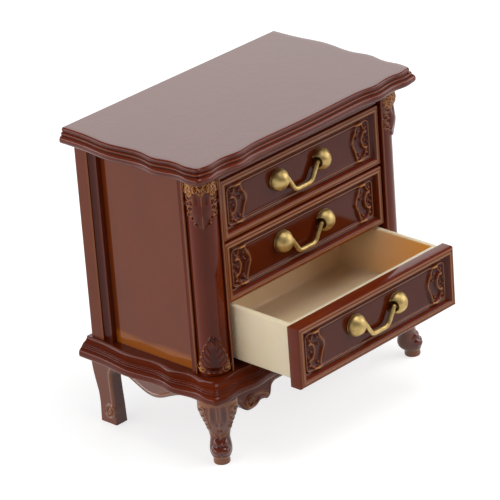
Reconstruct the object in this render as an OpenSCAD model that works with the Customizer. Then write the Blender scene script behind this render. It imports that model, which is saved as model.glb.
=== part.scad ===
// Miniature chest of drawers: three drawers in a case with canted corner posts, a serpentine
// moulded top and base, cabriole front legs and hinged drop handles.
// Millimetres. The front faces -Y, the left side is at -X and the feet stand on z = 0.
// The bottom drawer is drawn pulled out.

/* [Overall] */
// Height from the floor to the top surface
height = 80; // [74:0.5:96]
// Width of the case across its side posts
case_w = 72.6; // [66:0.2:90]
// Depth of the case from its back to the front of the corner posts
case_d = 43.3; // [40:0.1:60]
// How far the front corners are cut back at 45 degrees
cant = 6.8; // [6:0.1:8]

/* [Top board] */
// Thickness of the top board
top_t = 4; // [3:0.1:6]
// Overhang of the top surface past the sides of the case
top_side = 1.9; // [1:0.1:4]
// Overhang of the top surface past the front of the case
top_front = 1.6; // [1:0.1:4]
// Overhang of the top past the back of the case
top_back = 0.9; // [0:0.05:3]
// How far the lower bead of the top stands out past the top surface
top_lip = 1.6; // [0.8:0.1:2.4]
// Swell of the lobes along the sides of the top and the base
side_lobe = 1.1; // [0.4:0.1:2]
// Swell of the lobes along the front of the top and the base
front_lobe = 0.8; // [0.4:0.1:1.6]
// Radius of the front corners in plan
corner_r = 2; // [1:0.1:3]

/* [Base and legs] */
// Height of the legs under the base board
leg_h = 17.6; // [15:0.1:22]
// Thickness of the moulded base board
base_t = 4.8; // [4:0.1:7]
// How far the rim of the base stands out past the line of the top surface
base_rim = 2.1; // [1:0.1:3]
// How far the top of the base draws in from the line of the top surface
base_neck = 1.2; // [0.6:0.1:1.4]
// Distance of a front foot outside the canted corner
foot_out = 4.6; // [3.5:0.1:5.5]
// Radius of the pad under a front foot
pad_r = 2; // [1.5:0.1:2.4]
// Height of the pad under a front foot
pad_h = 1.2; // [1.1:0.05:1.5]
// Radius of the dowel on each leg
dowel_r = 1.2; // [0.8:0.1:1.3]
// Length of the dowel on each leg
dowel_l = 3; // [2:0.1:3.6]
// Length of a dowel's root inside its leg
dowel_root = 1; // [0.5:0.1:2]
// Distance of the middle of a front leg's knee outside the canted corner
knee_out = 3.7; // [3.4:0.05:4]
// Half depth of a front leg's knee, out along the diagonal
knee_a = 4.1; // [3.6:0.1:4.4]
// Half width of a front leg's knee, across the diagonal
knee_b = 5.1; // [4.6:0.1:5.4]
// Width of a rear leg along the side, under the base
rear_leg_w = 8.2; // [7.4:0.1:9]
// How far a rear foot stands out past the side of the case
rear_out = 1.75; // [1.4:0.05:2.2]
// How far a rear foot reaches in under the case
rear_in = 2; // [1.9:0.05:2.4]
// How far the heel of a rear foot stands in front of the back
rear_rake = 2.6; // [1.6:0.1:3.6]
// Hollow of the front edge of a rear leg
rear_bow = 0.8; // [0.4:0.05:1.2]
// Gap between the aprons and the legs
leg_clear = 0.15; // [0.1:0.05:0.3]
// Thickness of the aprons
apron_t = 2; // [1.4:0.1:3]
// Depth of the apron bands at their arches
apron_band = 2.3; // [1.6:0.1:3]
// Depth of the side aprons at the top of their arches
side_band = 1; // [0.8:0.1:1.6]
// Radius of the arch between a rear leg and its side apron
arch_r = 3.3; // [2.4:0.1:4]
// Drop of the belly of the side aprons below their arches
belly = 4.1; // [2:0.1:5]
// Drop of the scroll brackets of the front apron below its arch
bracket = 4.4; // [3:0.1:5]

// Width of a scroll bracket of the front apron
bracket_w = 13.4; // [12:0.2:15]
// Radius of the scroll on a bracket
scroll_r = 2.6; // [2:0.1:2.8]
// Radius of the pointed drop at the end of a bracket
drop_r = 0.95; // [0.7:0.05:1.1]
// How far the side aprons lie behind the rim of the base
apron_side = 2.2; // [1.6:0.1:2.8]
// How far the front apron lies behind the rim of the base
apron_fore = 1.9; // [1.4:0.1:2.4]
// How far the rear apron lies in front of the back
apron_back = 1; // [0.4:0.1:2]

/* [Case] */
// Thickness of the side panels
side_t = 1.6; // [1:0.1:2.4]
// How far the side panels lie behind the faces of the posts
side_inset = 1.4; // [0.2:0.05:1.4]
// Width of the rear posts along the side
rear_w = 7.8; // [6.5:0.1:10]
// Thickness of the rear posts
rear_t = 3; // [2.4:0.1:4]
// Radius of the flute of a rear post
flute_r = 2.9; // [2.4:0.1:3.2]
// Depth of the flute of a rear post
flute_d = 1; // [0.6:0.1:1.1]
// Distance of the flute's middle from the front edge of its post
flute_at = 2.2; // [2.2:0.1:3]
// Thickness of the back panel
back_t = 1.6; // [1:0.1:2.4]
// Thickness of the drawer guides
guide_t = 1.3; // [0.8:0.1:2]
// Thickness of the dust boards between the drawers
dust_t = 1; // [0.6:0.1:1.4]
// Thickness of the board under the bottom drawer
floor_t = 1.6; // [1:0.1:1.7]
// Depth of the rail under the top, with its gap
rail_h = 3.4; // [2.4:0.1:5]
// How far the top rail lies behind the drawer fronts
rail_set = 0.4; // [0:0.1:0.8]
// Depth of the front posts behind their canted faces
post_tail = 1; // [0.6:0.1:1.6]
// How far the corner pilasters stand out from the canted faces
pilaster = 2.4; // [1.5:0.1:3]
// Width of the flat strip on each side of a pilaster
pilaster_edge = 1.1; // [0.8:0.1:1.5]
// How far the carved capital swells past its pilaster
swell = 1.7; // [1:0.1:2]

/* [Drawers] */
// Gap between two drawer fronts, and over the top one
front_gap = 0.4; // [0.3:0.05:0.8]
// Gap between a drawer front and the posts
side_gap = 0.5; // [0.3:0.05:1]
// Gap between the bottom drawer front and the base
sill_gap = 0.8; // [0.5:0.05:1.2]
// Thickness of a drawer front
front_t = 3.7; // [3:0.1:5]
// How far the drawer fronts sit behind the front of the posts
front_set = 0.7; // [0:0.1:1.5]
// Width of the raised frame round a drawer front
frame_w = 2.6; // [2:0.1:3.2]
// Depth of the sunk panel of a drawer front
sunk = 1.3; // [0.8:0.1:1.8]
// Width of the stepped edge round a drawer front
edge_w = 0.8; // [0.4:0.1:1.2]
// Width of the bead round a sunk panel
bead_w = 0.5; // [0.3:0.1:0.7]
// Height of the bead round a sunk panel
bead_h = 0.35; // [0.2:0.05:0.5]
// Half width of a carved cartouche
cart_half = 2.5; // [2:0.1:3]
// Height of a carved cartouche over the sunk panel
cart_h = 0.6; // [0.3:0.1:0.8]
// Distance of a cartouche's middle from the frame
cart_in = 4; // [4:0.1:6]
// Wall and floor thickness of a drawer tray
tray_t = 1.5; // [1:0.1:2]
// Gap behind the tray of a closed drawer
tray_back = 2.8; // [1:0.1:9]
// Running clearance between a tray and what guides it
tray_gap = 0.4; // [0.25:0.05:0.6]
// Gap between a closed drawer front and the boards behind it
stop_gap = 0.5; // [0.3:0.05:1]
// Radius of the upright corners of a tray
tray_r = 1.6; // [0.8:0.1:3]
// How far the bottom drawer is pulled out
drawer_open = 22.8; // [0:0.1:30]

/* [Handles] */
// Half the distance between the two bosses of a handle
boss_x = 7.7; // [6.5:0.05:10]
// Radius of a domed boss
boss_r = 2.9; // [2.6:0.05:3]
// Height of the straight rim under the dome of a boss
boss_rim = 0.25; // [0.1:0.05:0.4]
// Height of the bail's axis over the sunk panel
bail_y = 1.3; // [1.2:0.05:1.6]
// Height of the bail's axis over the middle of the drawer front
bail_z = 0.8; // [0:0.1:1]
// Radius of the bail's rod
bail_r = 0.6; // [0.46:0.02:0.62]
// Radius of the pins at the ends of the bail
pin_r = 0.4; // [0.3:0.02:0.42]
// Distance of the end of a pin from the middle of its boss
pin_short = 0.5; // [0.3:0.05:0.8]
// Drop of the bail below its axis
bail_drop = 4.2; // [4:0.1:5]
// Half the straight length of the bail's bar
bail_bar = 2; // [1.6:0.1:2.5]
// Radius of the bend between the bar and an arm of the bail
bail_bend = 1.2; // [0.9:0.1:1.6]
// Radius of the pocket in the inner flank of a boss
pocket_r = 1.7; // [1.6:0.05:1.9]
// Distance of the pocket's floor from the middle of its boss
pocket_x = 1.6; // [1.4:0.05:1.8]
// Gap between the end of the bail's rod and the floor of the pocket
bail_gap = 0.12; // [0.1:0.01:0.2]
// Radial clearance round pins, pegs and dowels
fit = 0.06; // [0.03:0.01:0.1]
// Radius of the peg that holds a boss in the drawer front
peg_r = 0.8; // [0.5:0.05:1]
// Material left behind a peg
peg_left = 0.5; // [0.3:0.1:0.8]

/* [Hidden] */
$fn = 48;
sides = [-1, 1];
brown = [0.40, 0.17, 0.09];
dark_brown = [0.30, 0.11, 0.06];
ivory = [0.87, 0.80, 0.66];
gold = [0.74, 0.60, 0.30];
weld = 0.2;

// Heights of the case and of the drawer fronts in it
case_z = leg_h + base_t;
case_top = height - top_t;
case_h = case_top - case_z;
front_h = (case_h - rail_h - sill_gap - 2 * front_gap) / 3;
function front_z(i) = case_z + sill_gap + (2 - i) * (front_h + front_gap);
tray_under = floor_t + tray_gap - sill_gap;
tray_over = dust_t + 2 * tray_gap - front_gap - tray_under;

// Depths, from the middle of the case
back_y = case_d / 2;
front_y = -case_d / 2;
face_y = front_y + front_set;
behind_y = face_y + front_t + stop_gap;
inside_y = back_y - back_t;
front_half = case_w / 2 - cant - side_gap;
guide_in = front_half + side_gap - guide_t;
tray_half = guide_in - tray_gap;
tray_l = inside_y - face_y - front_t - tray_back;
rear_edge = back_y - rear_w;
panel_front = front_y + cant + post_tail;
panel_y = face_y + sunk;
axis_y = panel_y - bail_y;
boss_front = panel_y - boss_rim - boss_r;
peg_depth = front_t - sunk - peg_left;
ear_r = 1.12 * bail_r;
arm_x = boss_x - pocket_x - ear_r - bail_gap;

// The whole chest is centred between its back edge and the handle of the open drawer
open_front = boss_front - drawer_open;
shift_y = -(back_y + top_back + open_front) / 2;

// Serpentine plan of the top and the base
half_w = case_w / 2 + top_side;
plan_back = back_y + top_back;
plan_front = -front_y + top_front;
side_steps = 26;
front_steps = 30;
arc_steps = 5;
function bump(t, at, width) = exp(-pow((t - at) / width, 2));
function side_wave(t) =
    side_lobe * (bump(t, 0.37, 0.15) + 0.95 * bump(t, 0.715, 0.085) + 0.5 * bump(t, 0.95, 0.06));
function front_wave(s) =
    front_lobe * (bump(s, 0.66, 0.1) + 0.55 * bump(s, 0, 0.35) + 0.7 * bump(s, 0.93, 0.07));
function side_points(o) = [
    for (i = [0 : side_steps])
        let (t = i / side_steps)
        [half_w + o + side_wave(t), plan_back - t * (plan_back + plan_front + o - corner_r)]
];
function corner_points(o) = [
    for (i = [1 : arc_steps])
        let (a = 90 * i / (arc_steps + 1))
        [half_w + o + side_wave(1) - corner_r * (1 - cos(a)),
         -plan_front - o - front_wave(1) * (i / (arc_steps + 1)) + corner_r * (1 - sin(a))]
];
function front_points(o) = [
    for (i = [0 : front_steps])
        let (s = 1 - i / front_steps)
        [s * (half_w + o + side_wave(1) - corner_r), -plan_front - o - front_wave(s)]
];
function half_plan(o) = concat(side_points(o), corner_points(o), front_points(o));
function mirrored(points) = [for (i = [len(points) - 2 : -1 : 0]) [-points[i][0], points[i][1]]];
function plan(o) = concat(half_plan(o), mirrored(half_plan(o)));
function sum_to(list, n, i = 0) = i >= n ? 0 : list[i] + sum_to(list, n, i + 1);

// Profiles of the top and the base, from the top down: share of the thickness and overhang of each step
top_shares = [0.14, 0.19, 0.11, 0.16, 0.27, 0.13];
top_outs = [for (k = [0, 0.28, 0.12, 0.5, 1, 0.78]) k * top_lip];
base_shares = [0.16, 0.13, 0.15, 0.14, 0.29, 0.13];
base_rise = base_rim + base_neck;
base_outs = [for (k = [0, 0.27, 0.55, 0.79, 1, 0.88]) k * base_rise - base_neck];

// Canted corner: its middle, and the frame of a front leg or post that faces out of it
corner_x = case_w / 2 - cant / 2;
corner_y = front_y + cant / 2;
cant_w = cant * sqrt(2);
pilaster_half = cant_w / 2 - pilaster_edge;
pilaster_r = (pow(pilaster_half, 2) + pow(pilaster, 2)) / (2 * pilaster);

// Front leg from the floor up: share of the height, share of the way to the knee, half depth, half width
leg_rings = [
    [0.03, 0, 0.85 * pad_r, 0.85 * pad_r],
    [0.085, 0.33, 0.61 * knee_a, 0.45 * knee_b],
    [0.14, 0.67, 0.73 * knee_a, 0.53 * knee_b],
    [0.21, 0.78, 0.78 * knee_a, 0.56 * knee_b],
    [0.29, 1, 0.68 * knee_a, 0.53 * knee_b],
    [0.37, 1.33, 0.54 * knee_a, 0.5 * knee_b],
    [0.46, 1.33, 0.525 * knee_a, 0.54 * knee_b],
    [0.58, 0.89, 0.635 * knee_a, 0.63 * knee_b],
    [0.72, 0.56, 0.805 * knee_a, 0.8 * knee_b],
    [0.86, 0.67, 0.95 * knee_a, 0.96 * knee_b],
    [1, 1, knee_a, knee_b]
];
ring_sides = 20;

// Rear leg from the floor up: share of the height, then of its out, in, bow and rake
rear_rings = [
    [0, 1, 1, 0, 1],
    [0.15, 0.95, 0.95, 0.05, 1],
    [0.28, 0.86, 0.95, 0.2, 0.96],
    [0.43, 0.77, 0.95, 0.5, 0.82],
    [0.57, 0.72, 0.98, 0.8, 0.56],
    [0.71, 0.69, 1, 1, 0.3],
    [0.85, 0.68, 1.08, 1, 0.13],
    [1, 0.68, 1.15, 1, 0.06]
];
rear_top = rear_rings[len(rear_rings) - 1];
rear_front = back_y - rear_leg_w;
rear_axis_x = case_w / 2 - (rear_top[2] * rear_in - rear_top[1] * rear_out) / 2;
rear_axis_y = back_y - (rear_leg_w + rear_top[4] * rear_rake) / 2;

// Arch between a rear leg and its side apron: its middle, and its rise where the two pieces meet
arch_y = rear_front + rear_bow - arch_r;
arch_z = leg_h - side_band - arch_r;
arch_rise = sqrt(pow(arch_r, 2) - pow(arch_r - rear_bow, 2));
arch_steps = 4;
function arch_in(z) = z < arch_z ? 0 : arch_r - sqrt(pow(arch_r, 2) - pow(min(z - arch_z, arch_r), 2));
function arch_top(y) = y < arch_y ? leg_h : arch_z + sqrt(pow(arch_r, 2) - pow(y - arch_y, 2));
function rear_share(z, k) = lookup(z / leg_h, [for (r = rear_rings) [r[0], r[k]]]);
rear_heights = concat(
    [for (r = rear_rings) if (r[0] * leg_h < arch_z - weld) r[0] * leg_h],
    [for (k = [0 : arch_steps]) arch_z + arch_rise * k / arch_steps],
    [leg_h]
);

// Right half of the bail from the middle of its bar: across, up and slope along the rod
bail_rise = bail_drop - bail_bend;
bail_reach = arm_x - bail_bar;
arm_l = sqrt(pow(bail_reach, 2) + pow(bail_rise, 2) - pow(bail_bend, 2));
bail_turn = atan2(bail_rise, bail_reach) + atan2(bail_bend, arm_l);
bend_steps = 6;
rod_sides = 16;
half_bail = concat(
    [for (k = [0 : bend_steps])
        let (a = bail_turn * k / bend_steps)
        [bail_bar + bail_bend * sin(a), -bail_rise - bail_bend * cos(a), a]],
    [[arm_x, 0, bail_turn]]
);
left_bail = [for (k = [len(half_bail) - 1 : -1 : 0]) let (p = half_bail[k]) [-p[0], p[1], -p[2]]];
bail_path = concat(left_bail, half_bail);

// A box between two corners
module span(low, high) {
    translate(low)
        cube(high - low);
}

// Moves a piece from the frame of the case to the frame of the whole chest
module place() {
    translate([0, shift_y, 0])
        children();
}

// Draws the left-hand piece on the side that is asked for
module on_side(side) {
    mirror([side > 0 ? 1 : 0, 0, 0])
        children();
}

// Frame of the left canted corner: +X points straight out of it, along the diagonal
module at_corner() {
    translate([-corner_x, corner_y, 0])
        rotate([0, 0, 225])
            children();
}

// Moves a piece of drawer i out to where that drawer stands
module at_drawer(i) {
    pull = i == 2 ? drawer_open : 0;
    translate([0, shift_y - pull, 0])
        children();
}

// A board with a stepped moulding on its front and sides; the steps run down from z,
// and each step reaches a little into its wider neighbours
module moulded_board(z, thickness, shares, outs) {
    last = len(shares) - 1;
    for (i = [0 : last]) {
        up = i > 0 && outs[i - 1] > outs[i] ? weld : 0;
        down = i < last && outs[i + 1] > outs[i] ? weld : 0;
        translate([0, 0, z - thickness * sum_to(shares, i + 1) - down])
            linear_extrude(thickness * shares[i] + up + down)
                polygon(plan(outs[i]));
    }
}

// A smooth solid through rings of equally many points, from the lowest up
module loft(rings) {
    n = len(rings[0]);
    last = len(rings) - 1;
    points = [for (r = rings) each r];
    faces = concat(
        [[for (i = [0 : n - 1]) i]],
        [[for (i = [n - 1 : -1 : 0]) last * n + i]],
        [for (k = [0 : last - 1], i = [0 : n - 1])
            let (j = (i + 1) % n)
            [k * n + i, (k + 1) * n + i, (k + 1) * n + j]],
        [for (k = [0 : last - 1], i = [0 : n - 1])
            let (j = (i + 1) % n)
            [k * n + i, (k + 1) * n + j, k * n + j]]
    );
    polyhedron(points, faces);
}

module top_board() {
    color(brown)
        place()
            moulded_board(height, top_t, top_shares, top_outs);
}

module top_rail() {
    half = front_half + side_gap;
    color(brown)
        place()
            span([-half, face_y + rail_set, case_top - rail_h + front_gap], [half, behind_y, case_top]);
}

module side_panel(side) {
    color(brown)
        place()
            on_side(side)
                span([-case_w / 2 + side_inset, panel_front, case_z],
                     [-case_w / 2 + side_inset + side_t, rear_edge, case_top]);
}

module rear_post(side) {
    color(brown)
        place()
            on_side(side)
                difference() {
                    span([-case_w / 2, rear_edge, case_z], [-case_w / 2 + rear_t, back_y, case_top]);
                    translate([-case_w / 2 - flute_r + flute_d, rear_edge + flute_at, case_z - 1])
                        cylinder(h = case_h + 2, r = flute_r);
                }
}

// Half-round pilaster; its swell is given at shares of the case height
module pilaster_solid() {
    swells = [
        [0, 0.32], [0.04, 0.32], [0.06, 0.59], [0.10, 0.59], [0.15, 0.44], [0.19, 0.12], [0.205, 0],
        [0.755, 0], [0.775, 0.44], [0.81, 0.2], [0.85, 0.53], [0.9, 1], [0.955, 0.35], [1, 0.3]
    ];
    edge = [for (s = swells) [pilaster_r + s[1] * swell, s[0] * case_h]];
    profile = concat([[0, 0]], edge, [[0, case_h]]);
    half = pilaster_half + 0.36 * pilaster_edge;
    intersection() {
        translate([pilaster - pilaster_r, 0, case_z])
            rotate([0, 0, -90])
                rotate_extrude(angle = 180)
                    polygon(profile);
        span([-weld, -half, case_z], [pilaster + 2 * swell, half, case_top]);
    }
}

module front_post(side) {
    half = case_w / 2;
    inner = front_half + side_gap;
    color(brown)
        place()
            on_side(side)
                union() {
                    translate([0, 0, case_z])
                        linear_extrude(case_h)
                            polygon([
                                [-half, front_y + cant], [-inner, front_y], [-inner, panel_front],
                                [-half, panel_front]
                            ]);
                    at_corner()
                        pilaster_solid();
                }
}

module back_panel() {
    half = case_w / 2 - rear_t;
    color(dark_brown)
        place()
            span([-half, inside_y, case_z], [half, back_y, case_top]);
}

module drawer_guide(side) {
    color(dark_brown)
        place()
            on_side(side)
                span([-guide_in - guide_t, behind_y, case_z], [-guide_in, inside_y, case_top]);
}

// Board under drawer i, between the guides
module dust_board(i) {
    z = front_z(i) + tray_under - tray_gap - dust_t;
    color(dark_brown)
        place()
            span([-guide_in, behind_y, z], [guide_in, inside_y, z + dust_t]);
}

module bottom_board() {
    color(dark_brown)
        place()
            span([-guide_in, behind_y, case_z], [guide_in, inside_y, case_z + floor_t]);
}

// Bores for the dowels of the four legs
module dowel_bores() {
    for (s = sides)
        on_side(s) {
            at_corner()
                translate([knee_out, 0, leg_h - 1])
                    cylinder(h = dowel_l + fit + 1, r = dowel_r + fit);
            translate([-rear_axis_x, rear_axis_y, leg_h - 1])
                cylinder(h = dowel_l + fit + 1, r = dowel_r + fit);
        }
}

module base_board() {
    color(brown)
        place()
            difference() {
                moulded_board(case_z, base_t, base_shares, base_outs);
                dowel_bores();
            }
}

module front_leg(side) {
    rings = [
        for (r = leg_rings)
            [for (i = [0 : ring_sides - 1])
                let (a = 360 * i / ring_sides)
                [foot_out - r[1] * (foot_out - knee_out) + r[2] * cos(a), r[3] * sin(a), r[0] * leg_h]]
    ];
    color(brown)
        place()
            on_side(side)
                at_corner() {
                    translate([foot_out, 0, 0])
                        cylinder(h = pad_h, r = pad_r);
                    loft(rings);
                    translate([knee_out, 0, leg_h - dowel_root])
                        cylinder(h = dowel_l + dowel_root, r = dowel_r);
                }
}

module rear_leg(side) {
    rings = [
        for (z = rear_heights)
            let (x_out = -case_w / 2 - rear_share(z, 1) * rear_out)
            let (x_in = -case_w / 2 + rear_share(z, 2) * rear_in)
            let (y_fore = max(rear_front, rear_front + rear_share(z, 3) * rear_bow - arch_in(z)))
            let (y_back = back_y - rear_share(z, 4) * rear_rake)
            [[x_out, y_fore, z], [x_in, y_fore, z], [x_in, y_back, z], [x_out, y_back, z]]
    ];
    color(brown)
        place()
            on_side(side) {
                loft(rings);
                translate([-rear_axis_x, rear_axis_y, leg_h - dowel_root])
                    cylinder(h = dowel_l + dowel_root, r = dowel_r);
            }
}

// Clearance round a front leg, so that an apron stops just short of it
module leg_room() {
    at_corner()
        translate([knee_out, 0, -1])
            cylinder(h = leg_h + 2, r = knee_b + leg_clear);
}

// Side apron: straight at the top, its lower edge an arch by the rear leg and a belly towards the front
module side_apron(side) {
    y_back = rear_front - leg_clear;
    y_front = corner_y;
    steps = 48;
    y_belly = y_front + 0.55 * (y_back - y_front);
    width = 0.24 * (y_back - y_front);
    lower = [
        for (i = [0 : steps])
            let (y = y_back + (y_front - y_back) * i / steps)
            [y, min(arch_top(y), leg_h - side_band - belly * bump(y, y_belly, width))]
    ];
    x_out = half_w + base_rim - apron_side;
    color(brown)
        place()
            on_side(side)
                difference() {
                    translate([-x_out, 0, 0])
                        rotate([90, 0, 90])
                            linear_extrude(apron_t)
                                polygon(concat(lower, [[y_front, leg_h], [y_back, leg_h]]));
                    leg_room();
                }
}

// Half outline of the front apron from the middle to the right leg: arch, pointed drop and scroll bracket
module apron_half(half) {
    arch = leg_h - apron_band;
    low = arch - bracket;
    union() {
        translate([0, arch])
            square([half, apron_band]);
        translate([half - scroll_r - 0.22 * bracket_w, low + scroll_r])
            circle(r = scroll_r);
        translate([half - 0.93 * bracket_w, low + 0.36 * bracket])
            circle(r = drop_r);
        polygon([
            [half - bracket_w, arch + weld], [half - bracket_w, low + 0.41 * bracket],
            [half - 0.87 * bracket_w, low + 0.32 * bracket],
            [half - 0.67 * bracket_w, low + 0.36 * bracket],
            [half - 0.52 * bracket_w, low + 0.14 * bracket],
            [half - 0.22 * bracket_w, low + scroll_r],
            [half, arch - 0.14 * bracket], [half, arch + weld]
        ]);
    }
}

module apron_front() {
    y_out = -plan_front - base_rim + apron_fore;
    half = corner_x;
    color(brown)
        place()
            difference() {
                translate([0, y_out + apron_t, 0])
                    rotate([90, 0, 0])
                        linear_extrude(apron_t)
                            union() {
                                apron_half(half);
                                mirror([1, 0, 0])
                                    apron_half(half);
                            }
                for (s = sides)
                    on_side(s)
                        leg_room();
            }
}

module apron_rear() {
    half = case_w / 2 - rear_top[2] * rear_in - leg_clear;
    y = back_y - apron_back;
    color(brown)
        place()
            span([-half, y - apron_t, leg_h - 1.4 * apron_band], [half, y, leg_h]);
}

// A rectangle in the plane of a drawer front, drawn in by inset on all sides
module front_rect(i, inset) {
    translate([-front_half + inset, front_z(i) + inset])
        square([2 * (front_half - inset), front_h - 2 * inset]);
}

// A slab of a drawer front from depth y0 to y1, as an upright sheet of the 2D outline
module front_slab(y0, y1) {
    translate([0, y1, 0])
        rotate([90, 0, 0])
            linear_extrude(y1 - y0)
                children();
}

// Ring with an elliptical outline
module oval_ring(rx, rz, width) {
    count = 32;
    difference() {
        polygon([for (k = [0 : count - 1]) [rx * cos(360 * k / count), rz * sin(360 * k / count)]]);
        polygon([for (k = [0 : count - 1])
            [(rx - width) * cos(360 * k / count), (rz - width) * sin(360 * k / count)]]);
    }
}

// Carved cartouche: an oval ring with a scroll at each corner and a smaller ring inside
module cartouche() {
    rz = front_h / 2 - frame_w - 2 * bead_w - 0.12 * cart_half;
    oval_ring(cart_half, rz, 0.24 * cart_half);
    oval_ring(0.5 * cart_half, 0.6 * rz, 0.18 * cart_half);
    for (sx = sides, sz = sides)
        translate([sx * 0.85 * cart_half, sz * 0.8 * rz])
            circle(r = 0.26 * cart_half);
}

module drawer_front(i) {
    round_w = 0.375 * edge_w;
    cart_x = front_half - frame_w - cart_in;
    mid_z = front_z(i) + front_h / 2;
    color(brown)
        at_drawer(i)
            difference() {
                union() {
                    front_slab(face_y + edge_w, face_y + front_t)
                        front_rect(i, 0);
                    front_slab(face_y + round_w, face_y + edge_w + weld)
                        front_rect(i, round_w);
                    front_slab(face_y, face_y + round_w + weld)
                        front_rect(i, edge_w);
                }
                front_slab(face_y - 1, panel_y - sunk * 0.55)
                    front_rect(i, 0.77 * frame_w);
                difference() {
                    front_slab(face_y - 1, panel_y)
                        front_rect(i, frame_w);
                    front_slab(panel_y - bead_h, panel_y + weld)
                        difference() {
                            front_rect(i, frame_w + bead_w);
                            front_rect(i, frame_w + 2 * bead_w);
                        }
                    for (s = sides)
                        front_slab(panel_y - cart_h, panel_y + weld)
                            translate([s * cart_x, mid_z])
                                cartouche();
                }
                for (s = sides)
                    translate([s * boss_x, panel_y - 1, mid_z + bail_z])
                        rotate([-90, 0, 0])
                            cylinder(h = 1 + peg_depth + fit, r = peg_r + fit);
            }
}

// Plan of a tray with rounded corners, drawn in by inset
module tray_plan(inset) {
    half = tray_half - inset;
    r = max(tray_r - inset, 0.3);
    y0 = face_y + front_t + inset;
    y1 = face_y + front_t + tray_l - inset;
    translate([-half, y0 + r])
        square([2 * half, y1 - y0 - 2 * r]);
    translate([-half + r, y0])
        square([2 * half - 2 * r, y1 - y0]);
    for (x = [-half + r, half - r], y = [y0 + r, y1 - r])
        translate([x, y])
            circle(r = r);
}

module drawer_tray(i) {
    z0 = front_z(i) + tray_under;
    z1 = front_z(i) + front_h - tray_over;
    color(ivory)
        at_drawer(i)
            difference() {
                translate([0, 0, z0])
                    linear_extrude(z1 - z0)
                        tray_plan(0);
                translate([0, 0, z0 + tray_t])
                    linear_extrude(z1 - z0)
                        tray_plan(tray_t);
            }
}

// Domed boss with a pocket in its inner flank, a bore for the bail's pin, and a peg into the drawer front
module boss(i, side) {
    z = front_z(i) + front_h / 2 + bail_z;
    color(gold)
        at_drawer(i)
            translate([side * boss_x, panel_y, z])
                rotate([90, 0, 0])
                    difference() {
                        union() {
                            cylinder(h = boss_rim, r = boss_r);
                            intersection() {
                                translate([0, 0, boss_rim])
                                    sphere(r = boss_r);
                                translate([0, 0, boss_rim])
                                    cylinder(h = boss_r + 1, r = boss_r + 1);
                            }
                            translate([0, 0, -peg_depth])
                                cylinder(h = peg_depth + weld, r = peg_r);
                        }
                        translate([-side * (pocket_x + boss_r), 0, bail_y])
                            rotate([0, side * 90, 0])
                                cylinder(h = boss_r, r = pocket_r);
                        translate([-side * (pocket_x + weld), 0, bail_y])
                            rotate([0, side * 90, 0])
                                cylinder(h = pocket_x + weld - pin_short + fit, r = pin_r + fit);
                    }
}

// Bail: a bar that bends up into two leaning arms, each with a pin at its top
module bail(i) {
    z = front_z(i) + front_h / 2 + bail_z;
    rings = [
        for (p = bail_path)
            [for (k = [0 : rod_sides - 1])
                let (a = 360 * k / rod_sides)
                let (up = bail_r * cos(a))
                [p[0] - up * sin(p[2]), -bail_r * sin(a), p[1] + up * cos(p[2])]]
    ];
    color(gold)
        at_drawer(i)
            translate([0, axis_y, z]) {
                loft(rings);
                for (s = sides) {
                    translate([s * arm_x, 0, 0])
                        sphere(r = ear_r);
                    translate([s * arm_x, 0, 0])
                        rotate([0, s * 90, 0])
                            cylinder(h = boss_x - pin_short - arm_x, r = pin_r);
                }
            }
}

top_board();
top_rail();
side_panel(-1);  // side_panel_left
side_panel(1);  // side_panel_right
rear_post(-1);  // rear_post_left
rear_post(1);  // rear_post_right
front_post(-1);  // front_post_left
front_post(1);  // front_post_right
back_panel();
drawer_guide(-1);  // drawer_guide_left
drawer_guide(1);  // drawer_guide_right
dust_board(0);  // dust_board_upper
dust_board(1);  // dust_board_lower
bottom_board();
base_board();
apron_front();
side_apron(-1);  // apron_left
side_apron(1);  // apron_right
apron_rear();
front_leg(-1);  // front_leg_left
front_leg(1);  // front_leg_right
rear_leg(-1);  // rear_leg_left
rear_leg(1);  // rear_leg_right
drawer_front(0);  // drawer_front_top
drawer_tray(0);  // drawer_tray_top
boss(0, -1);  // boss_top_left
boss(0, 1);  // boss_top_right
bail(0);  // bail_top
drawer_front(1);  // drawer_front_middle
drawer_tray(1);  // drawer_tray_middle
boss(1, -1);  // boss_middle_left
boss(1, 1);  // boss_middle_right
bail(1);  // bail_middle
drawer_front(2);  // drawer_front_bottom
drawer_tray(2);  // drawer_tray_bottom
boss(2, -1);  // boss_bottom_left
boss(2, 1);  // boss_bottom_right
bail(2);  // bail_bottom
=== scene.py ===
"""Dresses the miniature chest of drawers: moulded boards, carved posts and legs, drawers and handles.

All shapes are worked out in millimetres in the frame of the case: x to the right, y to the back from the
middle of the case, z up from the floor. The left-hand pieces are drawn and mirrored for the right.
"""
import math

import bpy
import numpy as np
from bpy.props import FloatProperty, FloatVectorProperty, PointerProperty
from mathutils import Matrix, Vector


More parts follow.
